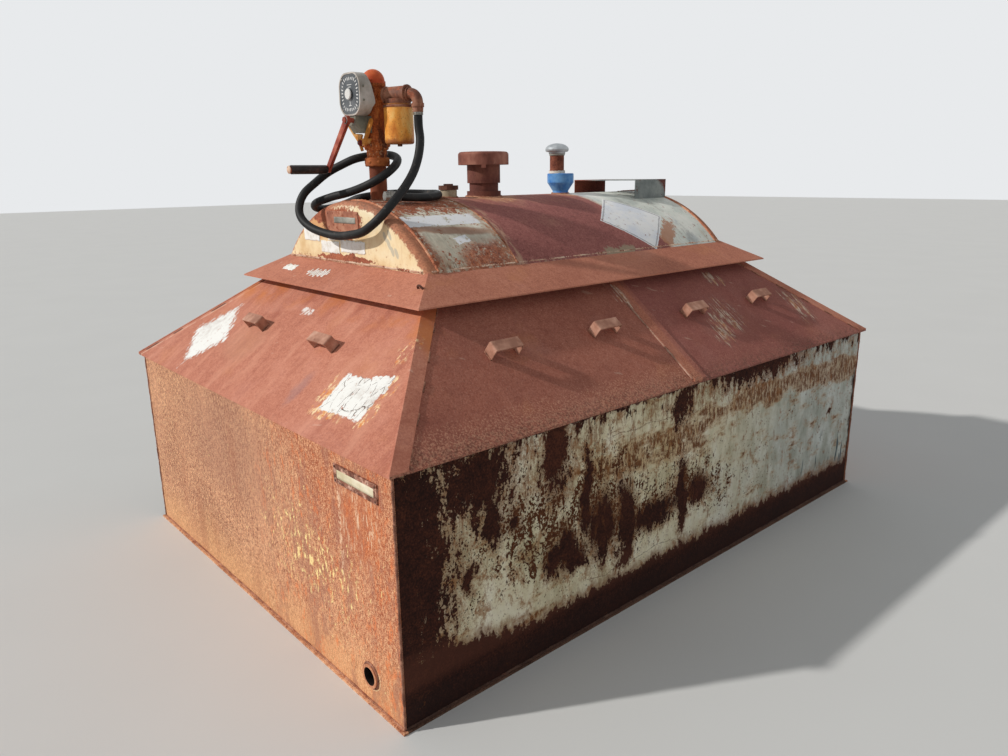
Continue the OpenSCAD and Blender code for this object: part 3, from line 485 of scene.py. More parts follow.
@finish
def pale_wall(f):
    """Side walls: pale grey-cream paint, flaked to dark rust at the near corner, the foot and in patches."""
    fine = f.noise(95, 4, 0.7)
    drops = f.noise(30, 5, 0.68, (1, 1, 0.45))
    # speckled zone round the patches in the front half
    wide = f.warped(3, 0.3)
    zone = f.spot(wide, -0.62, 0.42, 0.50, 0.24).rise(1.35, 0.2)
    zone = zone | f.spot(wide, -0.15, 0.32, 0.55, 0.12).rise(1.4, 0.2)
    zone = zone | (f.spot(f.warped(4, 0.2), -0.74, 0.46, 0.26, 0.15).rise(1.3, 0.3) * 1.05)
    foot_line = 0.125 + 0.075 * f.y.rise(-0.75, -1.15)
    foot = f.z - foot_line + (drops - 0.5) * 0.14 + (fine - 0.5) * 0.05
    head = f.z - (WALL_TOP - 0.012) - (drops - 0.55) * 0.30 - (fine - 0.5) * 0.03
    bare = f.spots(f.warped(26, 0.05, f.warped(7, 0.08), 4), WALL_RUST)
    torn = bare + (drops - 0.5) * 4.0 + (fine - 0.5) * 2.4
    speck = (drops * 0.5 + fine * 0.5 + zone * 0.10).rise(0.60, 0.625)
    corner = (f.y + (drops - 0.5) * 0.05).rise(1.228, 1.24) * f.z.rise(0.60, 0.5)
    rust = torn.rise(1.06, 0.96) | speck | foot.rise(0.006, -0.004) | head.rise(-0.006, 0.004) | corner
    # paint: cream towards the front, cooler grey towards the rear
    cloud = f.noise(3.4, 5, 0.6)
    wash = f.noise(16, 5, 0.65, (1, 1, 0.5))
    color = cloud * 0.5 + wash * 0.5
    color = color.tint((0.36, 182, 170, 134), (0.5, 226, 216, 184), (0.66, 247, 241, 220))
    cool = (f.y + cloud * 0.8).rise(0.2, 1.3)
    color.lay(cool * 0.75, wash.tint((0.35, 142, 152, 150), (0.65, 194, 202, 202)))
    # brown stains, most in a band towards the rear top
    brown = f.noise(11, 5, 0.7, (1, 0.6, 1.6))
    near = f.warped(6, 0.1)
    band = f.spot(near, 0.70, 0.590, 0.62, 0.050).rise(1.5, 0.3)
    mid = f.spot(near, -0.2, 0.54, 0.40, 0.075).rise(1.5, 0.2)
    smear = f.spot(f.warped(8, 0.08), 1.09, 0.575, 0.14, 0.065).rise(1.3, 0.3)
    color.stain(brown + band * 0.30 + smear * 0.34 + mid * 0.24, 0.50, 0.68, 0.5, 190, 142, 82)
    coarse = f.noise(72, 5, 0.78, (1, 1, 0.38))
    dark = (brown + band * 0.25 + smear * 0.32 + mid * 0.22).rise(0.55, 0.70)
    color.lay(dark * coarse.rise(0.42, 0.55) * 0.96, 104, 58, 26)
    # rust that has run down from bare places and from under the covers
    under = f.z.rise(0.40, WALL_TOP)
    runs = (f.noise(40, 5, 0.75, (1, 1, 0.22)) + under * 0.12).rise(0.57, 0.70)
    color.lay(runs * coarse.rise(0.38, 0.54) * 0.75, 128, 82, 46)
    color.lay((torn.rise(1.9, 1.05) | foot.rise(0.05, 0.0)) * 0.7, 132, 82, 44)
    blotch = f.noise(26, 6, 0.8, (1, 1, 0.7), (4, 2, 9)) + zone * 0.04 + under * 0.03
    color.stain(blotch, 0.545, 0.64, 0.7, 146, 94, 50)
    color.lay(f.cells(70).rise(0.26, 0.10) * f.noise(8, 3, 0.6).rise(0.42, 0.56) * 0.85, 98, 58, 34)
    # cool dark scratches near the rear lower corner
    tall = f.noise(26, 3, 0.55, (1, 1, 0.16), (0, 0.3, 0)).rise(0.585, 0.62)
    color.lay(tall * f.spot(f.warped(5, 0.1), 1.06, 0.20, 0.30, 0.11).rise(1.2, 0.5), 74, 88, 94)
    # bare metal, lighter in a band above the foot and in the small specks, and darker towards the floor as
    # painted shade
    _, metal, relief = f.rusty((86, 47, 33), (56, 29, 22), (32, 17, 14), 4, 1.1)
    metal.lay(f.z.rise(0.24, 0.18) * f.z.rise(0.09, 0.13) * 0.55, 92, 54, 42)
    # painted shade: the lowest part darkens towards the floor
    metal.stain(f.z, 0.12, 0.05, 0.6, 42, 28, 26)
    small = speck * (1 - torn.rise(1.10, 0.98))
    metal.lay(small * 0.8, fine.tint((0.5, 104, 62, 36), (0.66, 70, 40, 26)))
    color.lay(rust, metal)
    # thin cracks in the paint
    wave = f.z + (f.noise(9, 4) - 0.5) * 0.06
    upper = abs(wave - 0.628).rise(0.0028, 0.0008) * abs(f.y + 0.23).rise(0.32, 0.28)
    lower = abs(wave - 0.168).rise(0.0028, 0.0008) * abs(f.y + 0.32).rise(0.26, 0.22)
    color.lay((upper | lower) * fine.rise(0.42, 0.5) * 0.6, 96, 62, 44)
    return color, (rust, 0.6, 0.92), 1 - rust + relief * rust * 0.9 + wash * 0.1, 0.0012, 0.15


@finish
def floor_steel(f):
    """Floor plate and saddles: dark dirty steel, with the walls' orange rust on the plate's two ends."""
    tone, color, relief = f.rusty((126, 94, 78), (104, 76, 62), (66, 46, 38), 5, 1.2)
    orange = tone.tint((0.42, 146, 88, 66), (0.5, 206, 148, 112), (0.58, 238, 190, 152))
    color.lay(abs(f.y).rise(WALL_Y - 0.004, WALL_Y - 0.001), orange)
    return color, 0.92, relief, 0.0008, 0.2


@finish
def drain_rust(f):
    """The wall's rust on the face of the drain; near black inside its bore, partly painted shade and partly
    oil, which is smoother there.
    """
    tone, color, relief = f.rusty((222, 164, 124), (196, 132, 98), (136, 82, 62), 6, 1.5)
    # painted shade and oil: near black and smoother inside the bore
    bore_shade_and_oil = f.spot(f.place, DRAIN.x, DRAIN.z, DRAIN_BORE, DRAIN_BORE, axis=1).rise(1.04, 1.0)
    color.lay(bore_shade_and_oil, tone.tint((0.4, 16, 11, 10), (0.6, 40, 27, 22)))
    return color, (bore_shade_and_oil, 0.9, 0.6), relief, 0.0006


# Finishes of the tank

def unrolled(f):
    """The arc from the tank's top towards +X, and places on the tank unrolled: the arc, then Y."""
    arc = f.math("ARCTAN2", f.x, f.z - TANK_Z) * TANK_R
    return arc, f.vector(arc, f.y, 0.0)


@finish
def tank_paint(f):
    """Rear shell: red-brown in the middle, pale paint behind, with a worn white diamond."""
    arc, flat = unrolled(f)
    _, color, relief = f.rusty((180, 118, 108), (156, 93, 87), (112, 63, 60), 2.4, 1.0, 0.16)
    grit = f.noise(150, 3, 0.7, shift=(2, 7, 1))
    color.stain(grit, 0.55, 0.68, 0.35, 206, 146, 124)
    color.stain(grit, 0.44, 0.32, 0.4, 84, 46, 40)
    # the top is lighter and streaked, the flank smoother
    streak = f.noise(14, 5, 0.65, (0.5, 3.0, 1), place=flat)
    color.lay(abs(arc).rise(0.24, 0.05) * streak.rise(0.45, 0.6) * 0.5, 206, 150, 122)
    color.stain(f.noise(5, 5, 0.65, shift=(1, 3, 4)), 0.55, 0.7, 0.4, 190, 140, 116)
    # ochre rings round the vent and the breather
    fittings = (("vent_riser", 0.115), ("reducer", 0.085))
    rings = [(0, middle(node).y, reach * 1.3, reach) for node, reach in fittings]
    halo = f.spots(f.warped(12, 0.07, flat, 4), rings, axis=2) + (streak - 0.5) * 1.4 + (grit - 0.5) * 0.8
    color.lay(halo.rise(1.1, 0.85) * 0.75, grit.tint((0.42, 190, 116, 76), (0.56, 226, 186, 148)))
    # pale rear part: its edge leans back towards the bottom
    edge = f.y - 0.245 - arc.rise(0.28, 0.52) * 0.17 + (f.noise(10, 5, 0.65) - 0.5) * 0.12
    pale = edge.rise(-0.004, 0.010)
    paint = f.noise(7, 5, 0.65).tint((0.34, 190, 197, 190), (0.5, 226, 229, 218), (0.66, 243, 242, 232))
    paint.stain(f.noise(20, 5, 0.7, (0.25, 1, 1), place=flat), 0.56, 0.72, 0.5, 186, 148, 104)
    paint.stain(edge + (grit - 0.5) * 0.05, 0.045, 0.0, 0.8, 190, 118, 72)
    paint.stain(f.noise(42, 5, 0.7), 0.62, 0.66, 0.8, 150, 92, 66)
    paint.stain(f.noise(6, 4, 0.6, shift=(7, 2, 1)), 0.56, 0.68, 0.4, 150, 160, 172)
    paint.stain(f.noise(11, 6, 0.78, (0.5, 1, 1), (2, 2, 5), flat), 0.53, 0.64, 0.45, 150, 148, 140)
    flakes = (f.noise(48, 6, 0.78, (0.8, 1, 1), (1, 1, 1), flat) - 0.5)
    patch = f.spot(f.warped(18, 0.03, flat, 4), 0.462, 0.470, 0.115, 0.034, turn=-0.82, axis=2)
    paint.stain(patch + flakes * 3.4, 1.15, 0.85, 0.85, 178, 112, 68)
    color.lay(pale, paint)
    # paler band with upright streaks beside the course seam
    marks = f.noise(34, 4, 0.7, (0.3, 1, 1), place=flat).rise(0.44, 0.6)
    color.lay(f.y.rise(COURSE_Y + 0.055, COURSE_Y + 0.02) * marks * 0.7, 206, 168, 140)
    # pale chipped fringe where the flashing meets the shell
    color.lay(arc.rise(0.50, 0.545) * f.noise(50, 4, 0.7).rise(0.52, 0.6) * 0.7, 206, 176, 150)
    smudge = f.spot(f.warped(14, 0.06, flat, 4), 0.525, 0.12, 0.030, 0.10, axis=2)
    color.stain(smudge + flakes * 3.2, 1.1, 0.8, 0.7, 176, 166, 138)
    # white diamond with a worn border, on the right side alone
    diamond = f.diamond(f.warped(60, 0.008, flat, 3), 0.352, 0.338, 0.180, 0.194)
    film = diamond.rise(1.01, 0.99) * f.noise(36, 5, 0.7, place=flat).rise(0.33, 0.38) * f.x.rise(0.0, 0.01)
    label = f.noise(9, 4, 0.6, place=flat).tint((0.34, 232, 236, 244), (0.56, 252, 251, 249))
    label.lay(diamond.rise(0.90, 0.92) * diamond.rise(0.97, 0.95) * 0.6, 112, 108, 112)
    label.stain(f.noise(30, 4, 0.7, place=flat), 0.58, 0.7, 0.5, 186, 164, 146)
    color.lay(film, label)
    return color, (pale | film, 0.78, 0.48), relief * (1 - pale) * 0.9 + film * 0.6 + pale * 0.4, 0.0016


@finish
def course_paint(f):
    """Front course: grey-cream paint going to rust, with the rest of a white band."""
    arc, flat = unrolled(f)
    cloud = f.noise(6, 5, 0.65)
    runs = f.noise(18, 5, 0.7, (0.3, 1, 1), place=flat)
    color = cloud * 0.5 + runs * 0.5
    color = color.tint((0.38, 160, 152, 134), (0.5, 214, 206, 186), (0.62, 248, 242, 226))
    _, rust, relief = f.rusty((206, 136, 100), (166, 96, 68), (100, 54, 40), 4, 1.0)
    speckle = f.noise(58, 5, 0.75)
    low = abs(arc).rise(0.36, 0.52)
    high = abs(arc).rise(0.27, 0.17)
    color.lay(low * runs.rise(0.40, 0.58) * 0.75, 152, 108, 64)
    color.lay(low * f.noise(60, 4, 0.7, (0.22, 1, 1), place=flat).rise(0.54, 0.62) * 0.7, 98, 68, 46)
    bare = (cloud * 0.3 + speckle * 0.7 + low * 0.035 + high * 0.15).rise(0.56, 0.60)
    bare = bare | (f.y.rise(HEAD_SEAM_Y + 0.05, HEAD_SEAM_Y + 0.01) * speckle.rise(0.42, 0.5))
    color.lay(bare, rust)
    streaks = f.noise(26, 4, 0.7, (2.4, 0.35, 1), place=flat).rise(0.56, 0.66)
    color.lay(streaks * high * 0.7, 232, 208, 178)
    rear = f.spot(f.warped(9, 0.06, flat), 0.54, -0.50, 0.14, 0.15, axis=2).rise(1.2, 0.7)
    color.lay(rear * speckle.rise(0.36, 0.46), rust)
    slant = f.spot(f.warped(12, 0.03, flat), 0.345, -0.60, 0.020, 0.18, turn=-0.12, axis=2)
    color.stain(slant, 1.3, 0.7, 0.75, 150, 96, 66)
    ragged = f.warped(50, 0.012, flat, 4)
    band = f.square(ragged, 0.282, -0.645, 0.034, 0.20)
    band = band & f.square(ragged, 0.397, -0.585, 0.016, 0.030, turn=0.2)
    holes = f.noise(34, 5, 0.7, place=flat).rise(0.38, 0.44)
    film = band.rise(1.04, 0.96) * holes * f.x.rise(0.0, 0.01)
    color.lay(film, 246, 246, 248)
    color.lay(f.y.rise(COURSE_Y - 0.05, COURSE_Y - 0.01) * speckle.rise(0.45, 0.55) * 0.8, 190, 140, 108)
    return color, (bare, 0.55, 0.9), relief * bare + (1 - bare) * 0.8 + film * 0.5, 0.0009


@finish
def head_paint(f):
    """Tank heads: cream paint with ochre and rust patches and grey smudges."""
    color = f.noise(5, 5, 0.65).tint((0.36, 226, 190, 138), (0.5, 246, 222, 178), (0.66, 250, 236, 204))
    color.stain(f.noise(30, 4, 0.7, (1, 1, 0.12)), 0.57, 0.72, 0.4, 206, 160, 100)
    color.stain(f.spot(f.warped(12, 0.05), -0.20, 1.25, 0.09, 0.055, axis=1), 1.3, 0.6, 0.8, 214, 146, 78)
    _, rust, relief = f.rusty((196, 124, 92), (170, 98, 72), (112, 62, 46), 6, 1.0)
    fine = f.noise(60, 5, 0.72)
    drops = f.noise(18, 5, 0.7)
    spots = drops * 0.5 + fine * 0.5
    # bare round the data plate, in a strip under it and to its left, at the foot and on the rim
    worn = (-0.03, 1.27, 0.13, 0.055), (-0.03, 1.148, 0.19, 0.016), (-0.19, 1.30, 0.12, 0.03)
    bare = (f.spots(f.warped(20, 0.05), worn, axis=1) + (fine - 0.5) * 1.2).rise(1.05, 0.95)
    foot = (f.z + (drops - 0.5) * 0.10).rise(1.150, 1.125) * fine.rise(0.5, 0.56)
    reach = f.vector_math("LENGTH", {0: f.vector(f.x, 0.0, f.z - TANK_Z)}, "Value")
    rim = (reach + (fine - 0.5) * 0.05).rise(TANK_R - 0.022, TANK_R - 0.012)
    bare = bare | foot | (rim * 0.9) | spots.rise(0.615, 0.64)
    color.lay(bare, rust)
    color.lay(spots.rise(0.56, 0.62) * (1 - bare) * 0.5, 206, 152, 96)
    dabs = (0.235, 1.236), (0.255, 1.214), (0.275, 1.192), (0.298, 1.186), (0.262, 1.243)
    dabs = f.spots(f.warped(30, 0.008), [(x, z, 0.009, 0.020) for x, z in dabs], -0.5, 1)
    color.stain(dabs, 1.1, 0.8, 0.75, 190, 184, 166)
    return color, (bare, 0.5, 0.9), relief * bare + (1 - bare) * 0.8, 0.0008


# Finishes of the fittings

@finish
def pump_rust(f):
    """Pump column: old orange paint burnt to dark brown in tall patches, with pale chips round its foot."""
    tone, color, relief = f.rusty((214, 128, 68), (176, 88, 38), (116, 54, 28), 9, 1.6)
    tall = f.noise(15, 5, 0.7, (1, 1, 0.40), warp=0.4).rise(0.44, 0.57)
    color.lay(tall * 0.88, tone.tint((0.42, 42, 22, 18), (0.6, 98, 50, 32)))
    color.stain(f.noise(24, 4, 0.65, (1, 1, 0.5), (4, 1, 2)), 0.56, 0.68, 0.6, 222, 138, 72)
    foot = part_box("pump_column")[0].z
    chip = f.noise(95, 4, 0.75).rise(0.57, 0.62) * f.z.rise(foot + 0.075, foot + 0.03)
    color.lay(chip * 0.7, 226, 182, 140)
    return color, (tone, 0.62, 0.9), relief, 0.0010


@finish
def guard_grey(f):
    """Sheet guard: weathered grey, gone to dark red rust on its left leg and in one corner; on the left leg
    the dark rust is also painted shade of its shaded inner face.
    """
    low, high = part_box("top_guard")
    color = f.noise(9, 5, 0.65).tint((0.36, 104, 111, 110), (0.5, 132, 138, 136), (0.66, 158, 163, 158))
    _, rust, relief = f.rusty((150, 84, 62), (112, 52, 40), (70, 34, 30), 6, 1.4)
    drops = f.noise(26, 5, 0.72)
    ragged = (drops - 0.5) * 0.10
    # left leg: rust, and painted shade of the guard's shaded inner face
    left = (f.x + ragged).rise(middle("top_guard").x, low.x + 0.02)
    corner = (f.y + f.z + ragged).rise(high.y + high.z - 0.07, high.y + high.z - 0.04)
    bare = left | (corner * 0.9) | drops.rise(0.63, 0.66)
    color.lay(bare, rust)
    return color, (bare, 0.5, 0.88), relief * bare + (1 - bare) * 0.7, 0.0007


@finish
def breather_rust(f):
    """Breather pipe: dark red rust, with whitish sealing tape where it screws into the reducer."""
    tone, color, relief = f.rusty((168, 110, 86), (136, 80, 62), (90, 50, 40), 8, 1.5)
    tape = (f.z + (f.noise(90, 4, 0.7) - 0.5) * 0.008).rise(REDUCER_TOP + 0.013, REDUCER_TOP + 0.009)
    color.lay(tape, tone.tint((0.4, 190, 172, 150), (0.5, 234, 228, 216)))
    return color, 0.86, relief, 0.0008, 0.2


@finish
def canister_yellow(f):
    """Filter canister: amber paint with bleached streaks, dark specks and a rusty top and foot."""
    cloud = f.noise(16, 5, 0.6, (1, 1, 0.5))
    color = cloud.tint((0.36, 202, 116, 38), (0.5, 242, 164, 70), (0.64, 253, 204, 122))
    speck = f.cells(170).rise(0.32, 0.12) * f.noise(24, 4, 0.6).rise(0.34, 0.50)
    color.lay(speck * 0.75, 136, 70, 28)
    color.stain(f.noise(30, 5, 0.7, (1, 1, 0.4), (3, 3, 1)), 0.54, 0.66, 0.5, 250, 206, 140)
    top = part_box("filter_canister")[1].z
    rim = (f.z + (f.noise(50, 4) - 0.5) * 0.02).rise(top - 0.014, top - 0.006)
    foot = (f.z + (f.noise(40, 4) - 0.5) * 0.03).rise(top - 0.108, top - 0.124)
    color.lay((rim | foot) * 0.8, 140, 74, 38)
    return color, (speck, 0.42, 0.8), speck * -1.0, 0.0004


@finish
def hose_rubber(f):
    """Hose: dull black rubber with scuffs and dust."""
    scuff = f.noise(60, 4, 0.7)
    marks = scuff.rise(0.61, 0.68)
    color = f.noise(14, 4, 0.6).tint((0.36, 13, 13, 14), (0.56, 24, 23, 23), (0.72, 46, 43, 41))
    color.lay(marks * 0.5, 112, 104, 96)
    return color, (marks, 0.56, 0.8), f.noise(420, 2, 0.6) * 0.6 + scuff * 0.4, 0.0003, 0.25


@finish
def dial_dark(f):
    """Dial plate: dark grey paint with small chips, and the white face of its knob."""
    cloud = f.noise(20, 4, 0.6)
    color = cloud.tint((0.36, 78, 82, 86), (0.64, 104, 107, 110))
    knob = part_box("meter_dial")[0].y
    color.lay(f.y.rise(knob + 0.0075, knob + 0.0065), 224, 222, 218)
    chip = f.noise(160, 4, 0.7).rise(0.63, 0.67)
    color.lay(chip * 0.7, 150, 146, 140)
    return color, (chip, 0.45, 0.7), cloud, 0.0002


def scuffed(name, scale, detail, stops, marks, mark, smooth, matte, depth):
    """A clouded coat with scuffs: the clouds' scale, detail and tones, then the scuffs' scale, where
    they begin and end, their strength and colour, the two roughnesses and the relief."""
    f = Finish(name)
    cloud = f.noise(scale, detail, 0.65 if detail == 5 else 0.6)
    color = cloud.tint(*stops)
    size, low, high, strength = marks
    scuffs = f.noise(size, 4, 0.7).rise(low, high)
    color.lay(scuffs * strength, *mark)
    f.done(color, (scuffs, smooth, matte), cloud, depth)


scuffed("grip_black", 30, 4, ((0.36, 28, 24, 24), (0.6, 52, 42, 40), (0.72, 86, 62, 54)),
        (90, 0.62, 0.70, 0.5), (120, 90, 76), 0.42, 0.7, 0.0003)
scuffed("white_film", 30, 5, ((0.36, 222, 214, 200), (0.52, 246, 244, 238), (0.7, 250, 249, 246)),
        (80, 0.60, 0.70, 0.6), (176, 150, 130), 0.5, 0.7, 0.0003)


@finish
def mark_white(f):
    """White paint of the dial's marks."""
    cloud = f.noise(200, 3, 0.6)
    return cloud.tint((0.36, 204, 204, 202), (0.6, 232, 231, 228)), (cloud, 0.5, 0.6), cloud, 0.0001


RED = (188, 118, 88), (150, 84, 60), (88, 50, 38)
DARK = (140, 96, 76), (104, 66, 52), (62, 40, 34)

# Paint or bare metal broken by rust, for the small fittings: its dark, middle and light tone, the
# rust, how much of it there is, clouds a metre, and how rough the paint and the rust are; then, where
# it matters, how far the clouds are drawn out upwards, the gloss and how metallic it is
WORN = {
    "pipe_rust": ((116, 58, 36), (146, 80, 52), (176, 106, 72), RED, 0.45, 26, 0.75, 0.9, 0.5),
    "pump_orange": ((188, 74, 34), (206, 92, 44), (220, 118, 70), RED, 0.45, 26, 0.55, 0.85),
    "union_orange": ((150, 76, 34), (178, 98, 46), (204, 128, 70), RED, 0.48, 30, 0.65, 0.9),
    "filter_brown": ((108, 66, 50), (142, 92, 70), (178, 126, 100), RED, 0.52, 34, 0.65, 0.88),
    "meter_grey": ((146, 138, 128), (178, 170, 160), (204, 196, 188), RED, 0.40, 26, 0.5, 0.85),
    "case_grey": ((96, 98, 88), (122, 122, 108), (150, 146, 130), RED, 0.44, 30, 0.55, 0.85),
    "hook_yellow": ((186, 116, 42), (214, 148, 70), (232, 180, 110), RED, 0.46, 40, 0.5, 0.85),
    "crank_red": ((134, 54, 40), (162, 74, 56), (190, 112, 88), RED, 0.44, 34, 0.5, 0.82),
    "vent_rust": ((112, 66, 55), (144, 90, 75), (180, 126, 107), DARK, 0.47, 22, 0.8, 0.92, 0.6),
    # the vent's riser: the lid's rust made darker, as painted shade
    "shaded_riser_rust": ((84, 46, 40), (108, 62, 52), (138, 88, 72), DARK, 0.47, 22, 0.8, 0.92, 0.6),
    "reducer_blue": ((38, 88, 160), (54, 120, 196), (108, 164, 216), RED, 0.40, 24, 0.45, 0.85),
    "cap_grey": ((150, 156, 160), (176, 181, 184), (200, 204, 206), DARK, 0.36, 30, 0.42, 0.8,
                 None, 0.5, 0.35),
    "dark_rust": ((74, 46, 38), (96, 60, 48), (120, 80, 64), DARK, 0.5, 34, 0.8, 0.92),
    "fill_cream": ((140, 126, 102), (166, 150, 124), (190, 176, 150), RED, 0.47, 30, 0.55, 0.85),
    "bright_fitting": ((134, 130, 124), (160, 157, 150), (188, 186, 180), DARK, 0.40, 60, 0.38, 0.75,
                       None, 0.5, 0.7),
    "handle_rust": ((160, 112, 92), (186, 136, 114), (208, 162, 140), RED, 0.46, 34, 0.75, 0.92),
    "weld_rust": ((120, 78, 62), (150, 100, 80), (178, 128, 104), DARK, 0.5, 60, 0.7, 0.9),
    "dark_weld": ((66, 46, 38), (84, 60, 50), (104, 78, 64), DARK, 0.5, 60, 0.8, 0.95),
    "pale_weld": ((160, 116, 98), (190, 150, 130), (214, 184, 164), RED, 0.5, 40, 0.7, 0.9),
    "orange_weld": ((176, 104, 74), (200, 128, 94), (222, 170, 136), RED, 0.5, 34, 0.7, 0.9),
    "brown_weld": ((140, 92, 70), (170, 116, 90), (196, 146, 118), RED, 0.52, 40, 0.75, 0.92),
    "chipped_weld": ((196, 150, 126), (220, 186, 160), (238, 214, 190), RED, 0.53, 28, 0.6, 0.9),
    "bolt_red": ((96, 30, 28), (124, 42, 38), (150, 66, 58), DARK, 0.44, 60, 0.5, 0.8),
    "plate_rust": ((150, 92, 70), (180, 118, 92), (206, 152, 122), RED, 0.52, 30, 0.6, 0.88),
    "holder_rust": ((112, 66, 52), (158, 104, 84), (226, 182, 160), DARK, 0.55, 70, 0.75, 0.9),
    "strip_grey": ((128, 126, 116), (152, 150, 140), (178, 176, 164), RED, 0.40, 40, 0.5, 0.8),
    "plate_cream": ((210, 196, 160), (228, 216, 184), (240, 230, 204), RED, 0.38, 34, 0.5, 0.8),
}


def make_worn(name, dark, middling, light, rust, amount, scale, smooth, matte,
              tall=None, gloss=0.3, metal=None):
    f = Finish(name)
    stretch = (1, 1, tall) if tall else None
    color = f.noise(scale * 0.5, 5, 0.6, stretch).tint((0.38, *dark), (0.5, *middling), (0.64, *light))
    _, rust_color, relief = f.rusty(*rust, scale * 0.6, 2.2)
    fine = f.noise(scale * 4, 4, 0.7, shift=(3, 3, 3))
    wide = f.noise(scale, 5, 0.65, stretch, (1, 5, 2))
    bare = (wide * 0.6 + fine * 0.4 + (amount - 0.5)).rise(0.56, 0.60)
    color.lay(bare, rust_color)
    height = relief * bare + (1 - bare) * 0.8 + fine * 0.2
    f.done(color, (bare, smooth, matte), height, 0.0006, gloss, (1 - bare) * metal if metal else None)


for worn_name, worn_row in WORN.items():
    make_worn(worn_name, *worn_row)

# The CAD nodes that each finish covers
COVERED = {
    "floor_steel": "floor_plate saddles", "orange_rust_wall": "front_wall back_wall",
    "pale_wall": "left_wall right_wall", "drain_rust": "drain_coupling", "holder_rust": "plate_holder",
    "front_cover_rust": "cover_front",
    "cover_rust": "cover_back flashing_front flashing_back flashing_left flashing_right",
    "shaded_side_cover_rust": "cover_right_front cover_right_rear cover_left_front cover_left_rear",
    "strip_rust": "seam_strips", "handle_rust": "end_handles side_handles",
    "course_paint": "shell_front", "tank_paint": "shell_rear", "head_paint": "head_front head_back",
    "pipe_rust": "pump_riser", "union_orange": "pump_union", "pump_rust": "pump_column",
    "pump_orange": "pump_cap", "meter_grey": "meter_housing", "dial_dark": "meter_dial",
    "case_grey": "gear_case", "hook_yellow": "nozzle_hook", "crank_red": "crank_arm",
    "grip_black": "crank_grip", "filter_brown": "filter_head outlet_elbow hose_coupling",
    "canister_yellow": "filter_canister", "bright_fitting": "hose_end", "shaded_riser_rust": "vent_riser",
    "vent_rust": "vent_lid", "reducer_blue": "reducer", "breather_rust": "breather_pipe",
    "cap_grey": "breather_cap", "fill_cream": "fill_neck", "dark_rust": "fill_cap",
    "guard_grey": "top_guard",
}


def paint(piece, finish_name):
    """Gives a mesh one finish."""
    materials = piece.data.materials
    if len(materials) == 0:
        materials.append(FINISHES[finish_name])
    for k in range(len(materials)):
        materials[k] = FINISHES[finish_name]


for covering, nodes in COVERED.items():
    for node_name in nodes.split():
        paint(NODES[node_name], covering)


# Mesh making: a part is its vertices and its faces

def grid_faces(rows, columns, close_rows=False, close_columns=False):
    """Quads between neighbours of a grid of vertices numbered row by row."""
    i, j = np.meshgrid(np.arange(rows if close_rows else rows - 1),
                       np.arange(columns if close_columns else columns - 1), indexing="ij")
    below, right = (i + 1) % rows, (j + 1) % columns
    corners = [i * columns + j, i * columns + right, below * columns + right, below * columns + j]
    return np.stack(corners, -1).reshape(-1, 4)


def add_mesh(name, part, finish_name, body="plant", smooth=True):
    """A piece from a part, on a body, with its finish."""
    points, faces = part
    mesh = bpy.data.meshes.new(name)
    mesh.from_pydata(np.asarray(points, float).tolist(), [], [list(map(int, face)) for face in faces])
    mesh.update()
    mesh.polygons.foreach_set("use_smooth", np.full(len(mesh.polygons), smooth))
    piece = bpy.data.objects.new(name, mesh)
    bpy.context.scene.collection.objects.link(piece)
    paint(piece, finish_name)
    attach(piece, body)
    return piece


def closed_rings(rings, ends):
    """Rings of points joined up in turn, and closed by a point at each end."""
    count, sides = rings.shape[:2]
    k = np.arange(sides)
    after = (k + 1) % sides
    foot = np.full(sides, count * sides)
    last = (count - 1) * sides
    fans = [*np.stack([foot, after, k], 1), *np.stack([foot + 1, last + k, last + after], 1)]
    return np.vstack([rings.reshape(-1, 3), ends]), [*grid_faces(count, sides, close_columns=True), *fans]


def joined(parts):
    """Several parts as one."""
    vertices, faces, base = [], [], 0
    for points, corners in parts:
        vertices.append(np.asarray(points, float))
        faces.extend([np.asarray(face) + base for face in corners])
        base += len(points)
    return np.vstack(vertices), faces


def mirrored(part, x=False, y=False):
    """A part turned over across X or Y, with its faces the right way out."""
    vertices, faces = part
    flip = np.array([-1 if x else 1, -1 if y else 1, 1])
    turn = slice(None, None, -1) if x != y else slice(None)
    return vertices * flip, [np.asarray(face)[turn] for face in faces]


def both_sides(part):
    return joined([part, mirrored(part, x=True)])


def both_ends(part):
    return joined([part, mirrored(part, y=True)])


def four_ways(part):
    return joined([part, mirrored(part, x=True), mirrored(part, y=True), mirrored(part, True, True)])


def smooth_route(points, steps):
    """Points on a Catmull-Rom curve through the given ones: each span is a cubic of its four neighbours."""
    p = np.asarray(points, float)
    p = np.vstack([2 * p[0] - p[1], p, 2 * p[-1] - p[-2]])
    t = np.linspace(0, 1, steps, endpoint=False)[None, :, None]
    a, b, c, d = (p[k:len(p) - 3 + k, None, :] for k in range(4))
    curve = 0.5 * (2 * b + (c - a) * t + (2 * a - 5 * b + 4 * c - d) * t ** 2
                   + (3 * b - 3 * c + d - a) * t ** 3)
    return np.vstack([curve.reshape(-1, 3), p[-2]])


def even_route(points, spacing):
    """The same line with points a given spacing apart."""
    p = np.asarray(points, float)
    along = np.concatenate([[0], np.cumsum(np.linalg.norm(np.diff(p, axis=0), axis=1))])
    count = max(2, int(round(along[-1] / spacing)) + 1)
    at = np.linspace(0, along[-1], count)
    return np.stack([np.interp(at, along, p[:, k]) for k in range(3)], 1)


def cross_axes(points):
    """Two unit normals to each point of a line; the first is carried along by projection."""
    tangent = np.gradient(points, axis=0)
    tangent /= np.linalg.norm(tangent, axis=1, keepdims=True)
    normal = np.empty_like(tangent)
    guess = np.array([1.0, 0, 0]) if abs(tangent[0][0]) < 0.8 else np.array([0, 0, 1.0])
    for k, t in enumerate(tangent):
        guess = guess - (guess @ t) * t
        guess /= np.linalg.norm(guess)
        normal[k] = guess
    return normal, np.cross(tangent, normal)


def turn_angles(sides):
    return np.linspace(0, 2 * np.pi, sides, endpoint=False)[:, None]


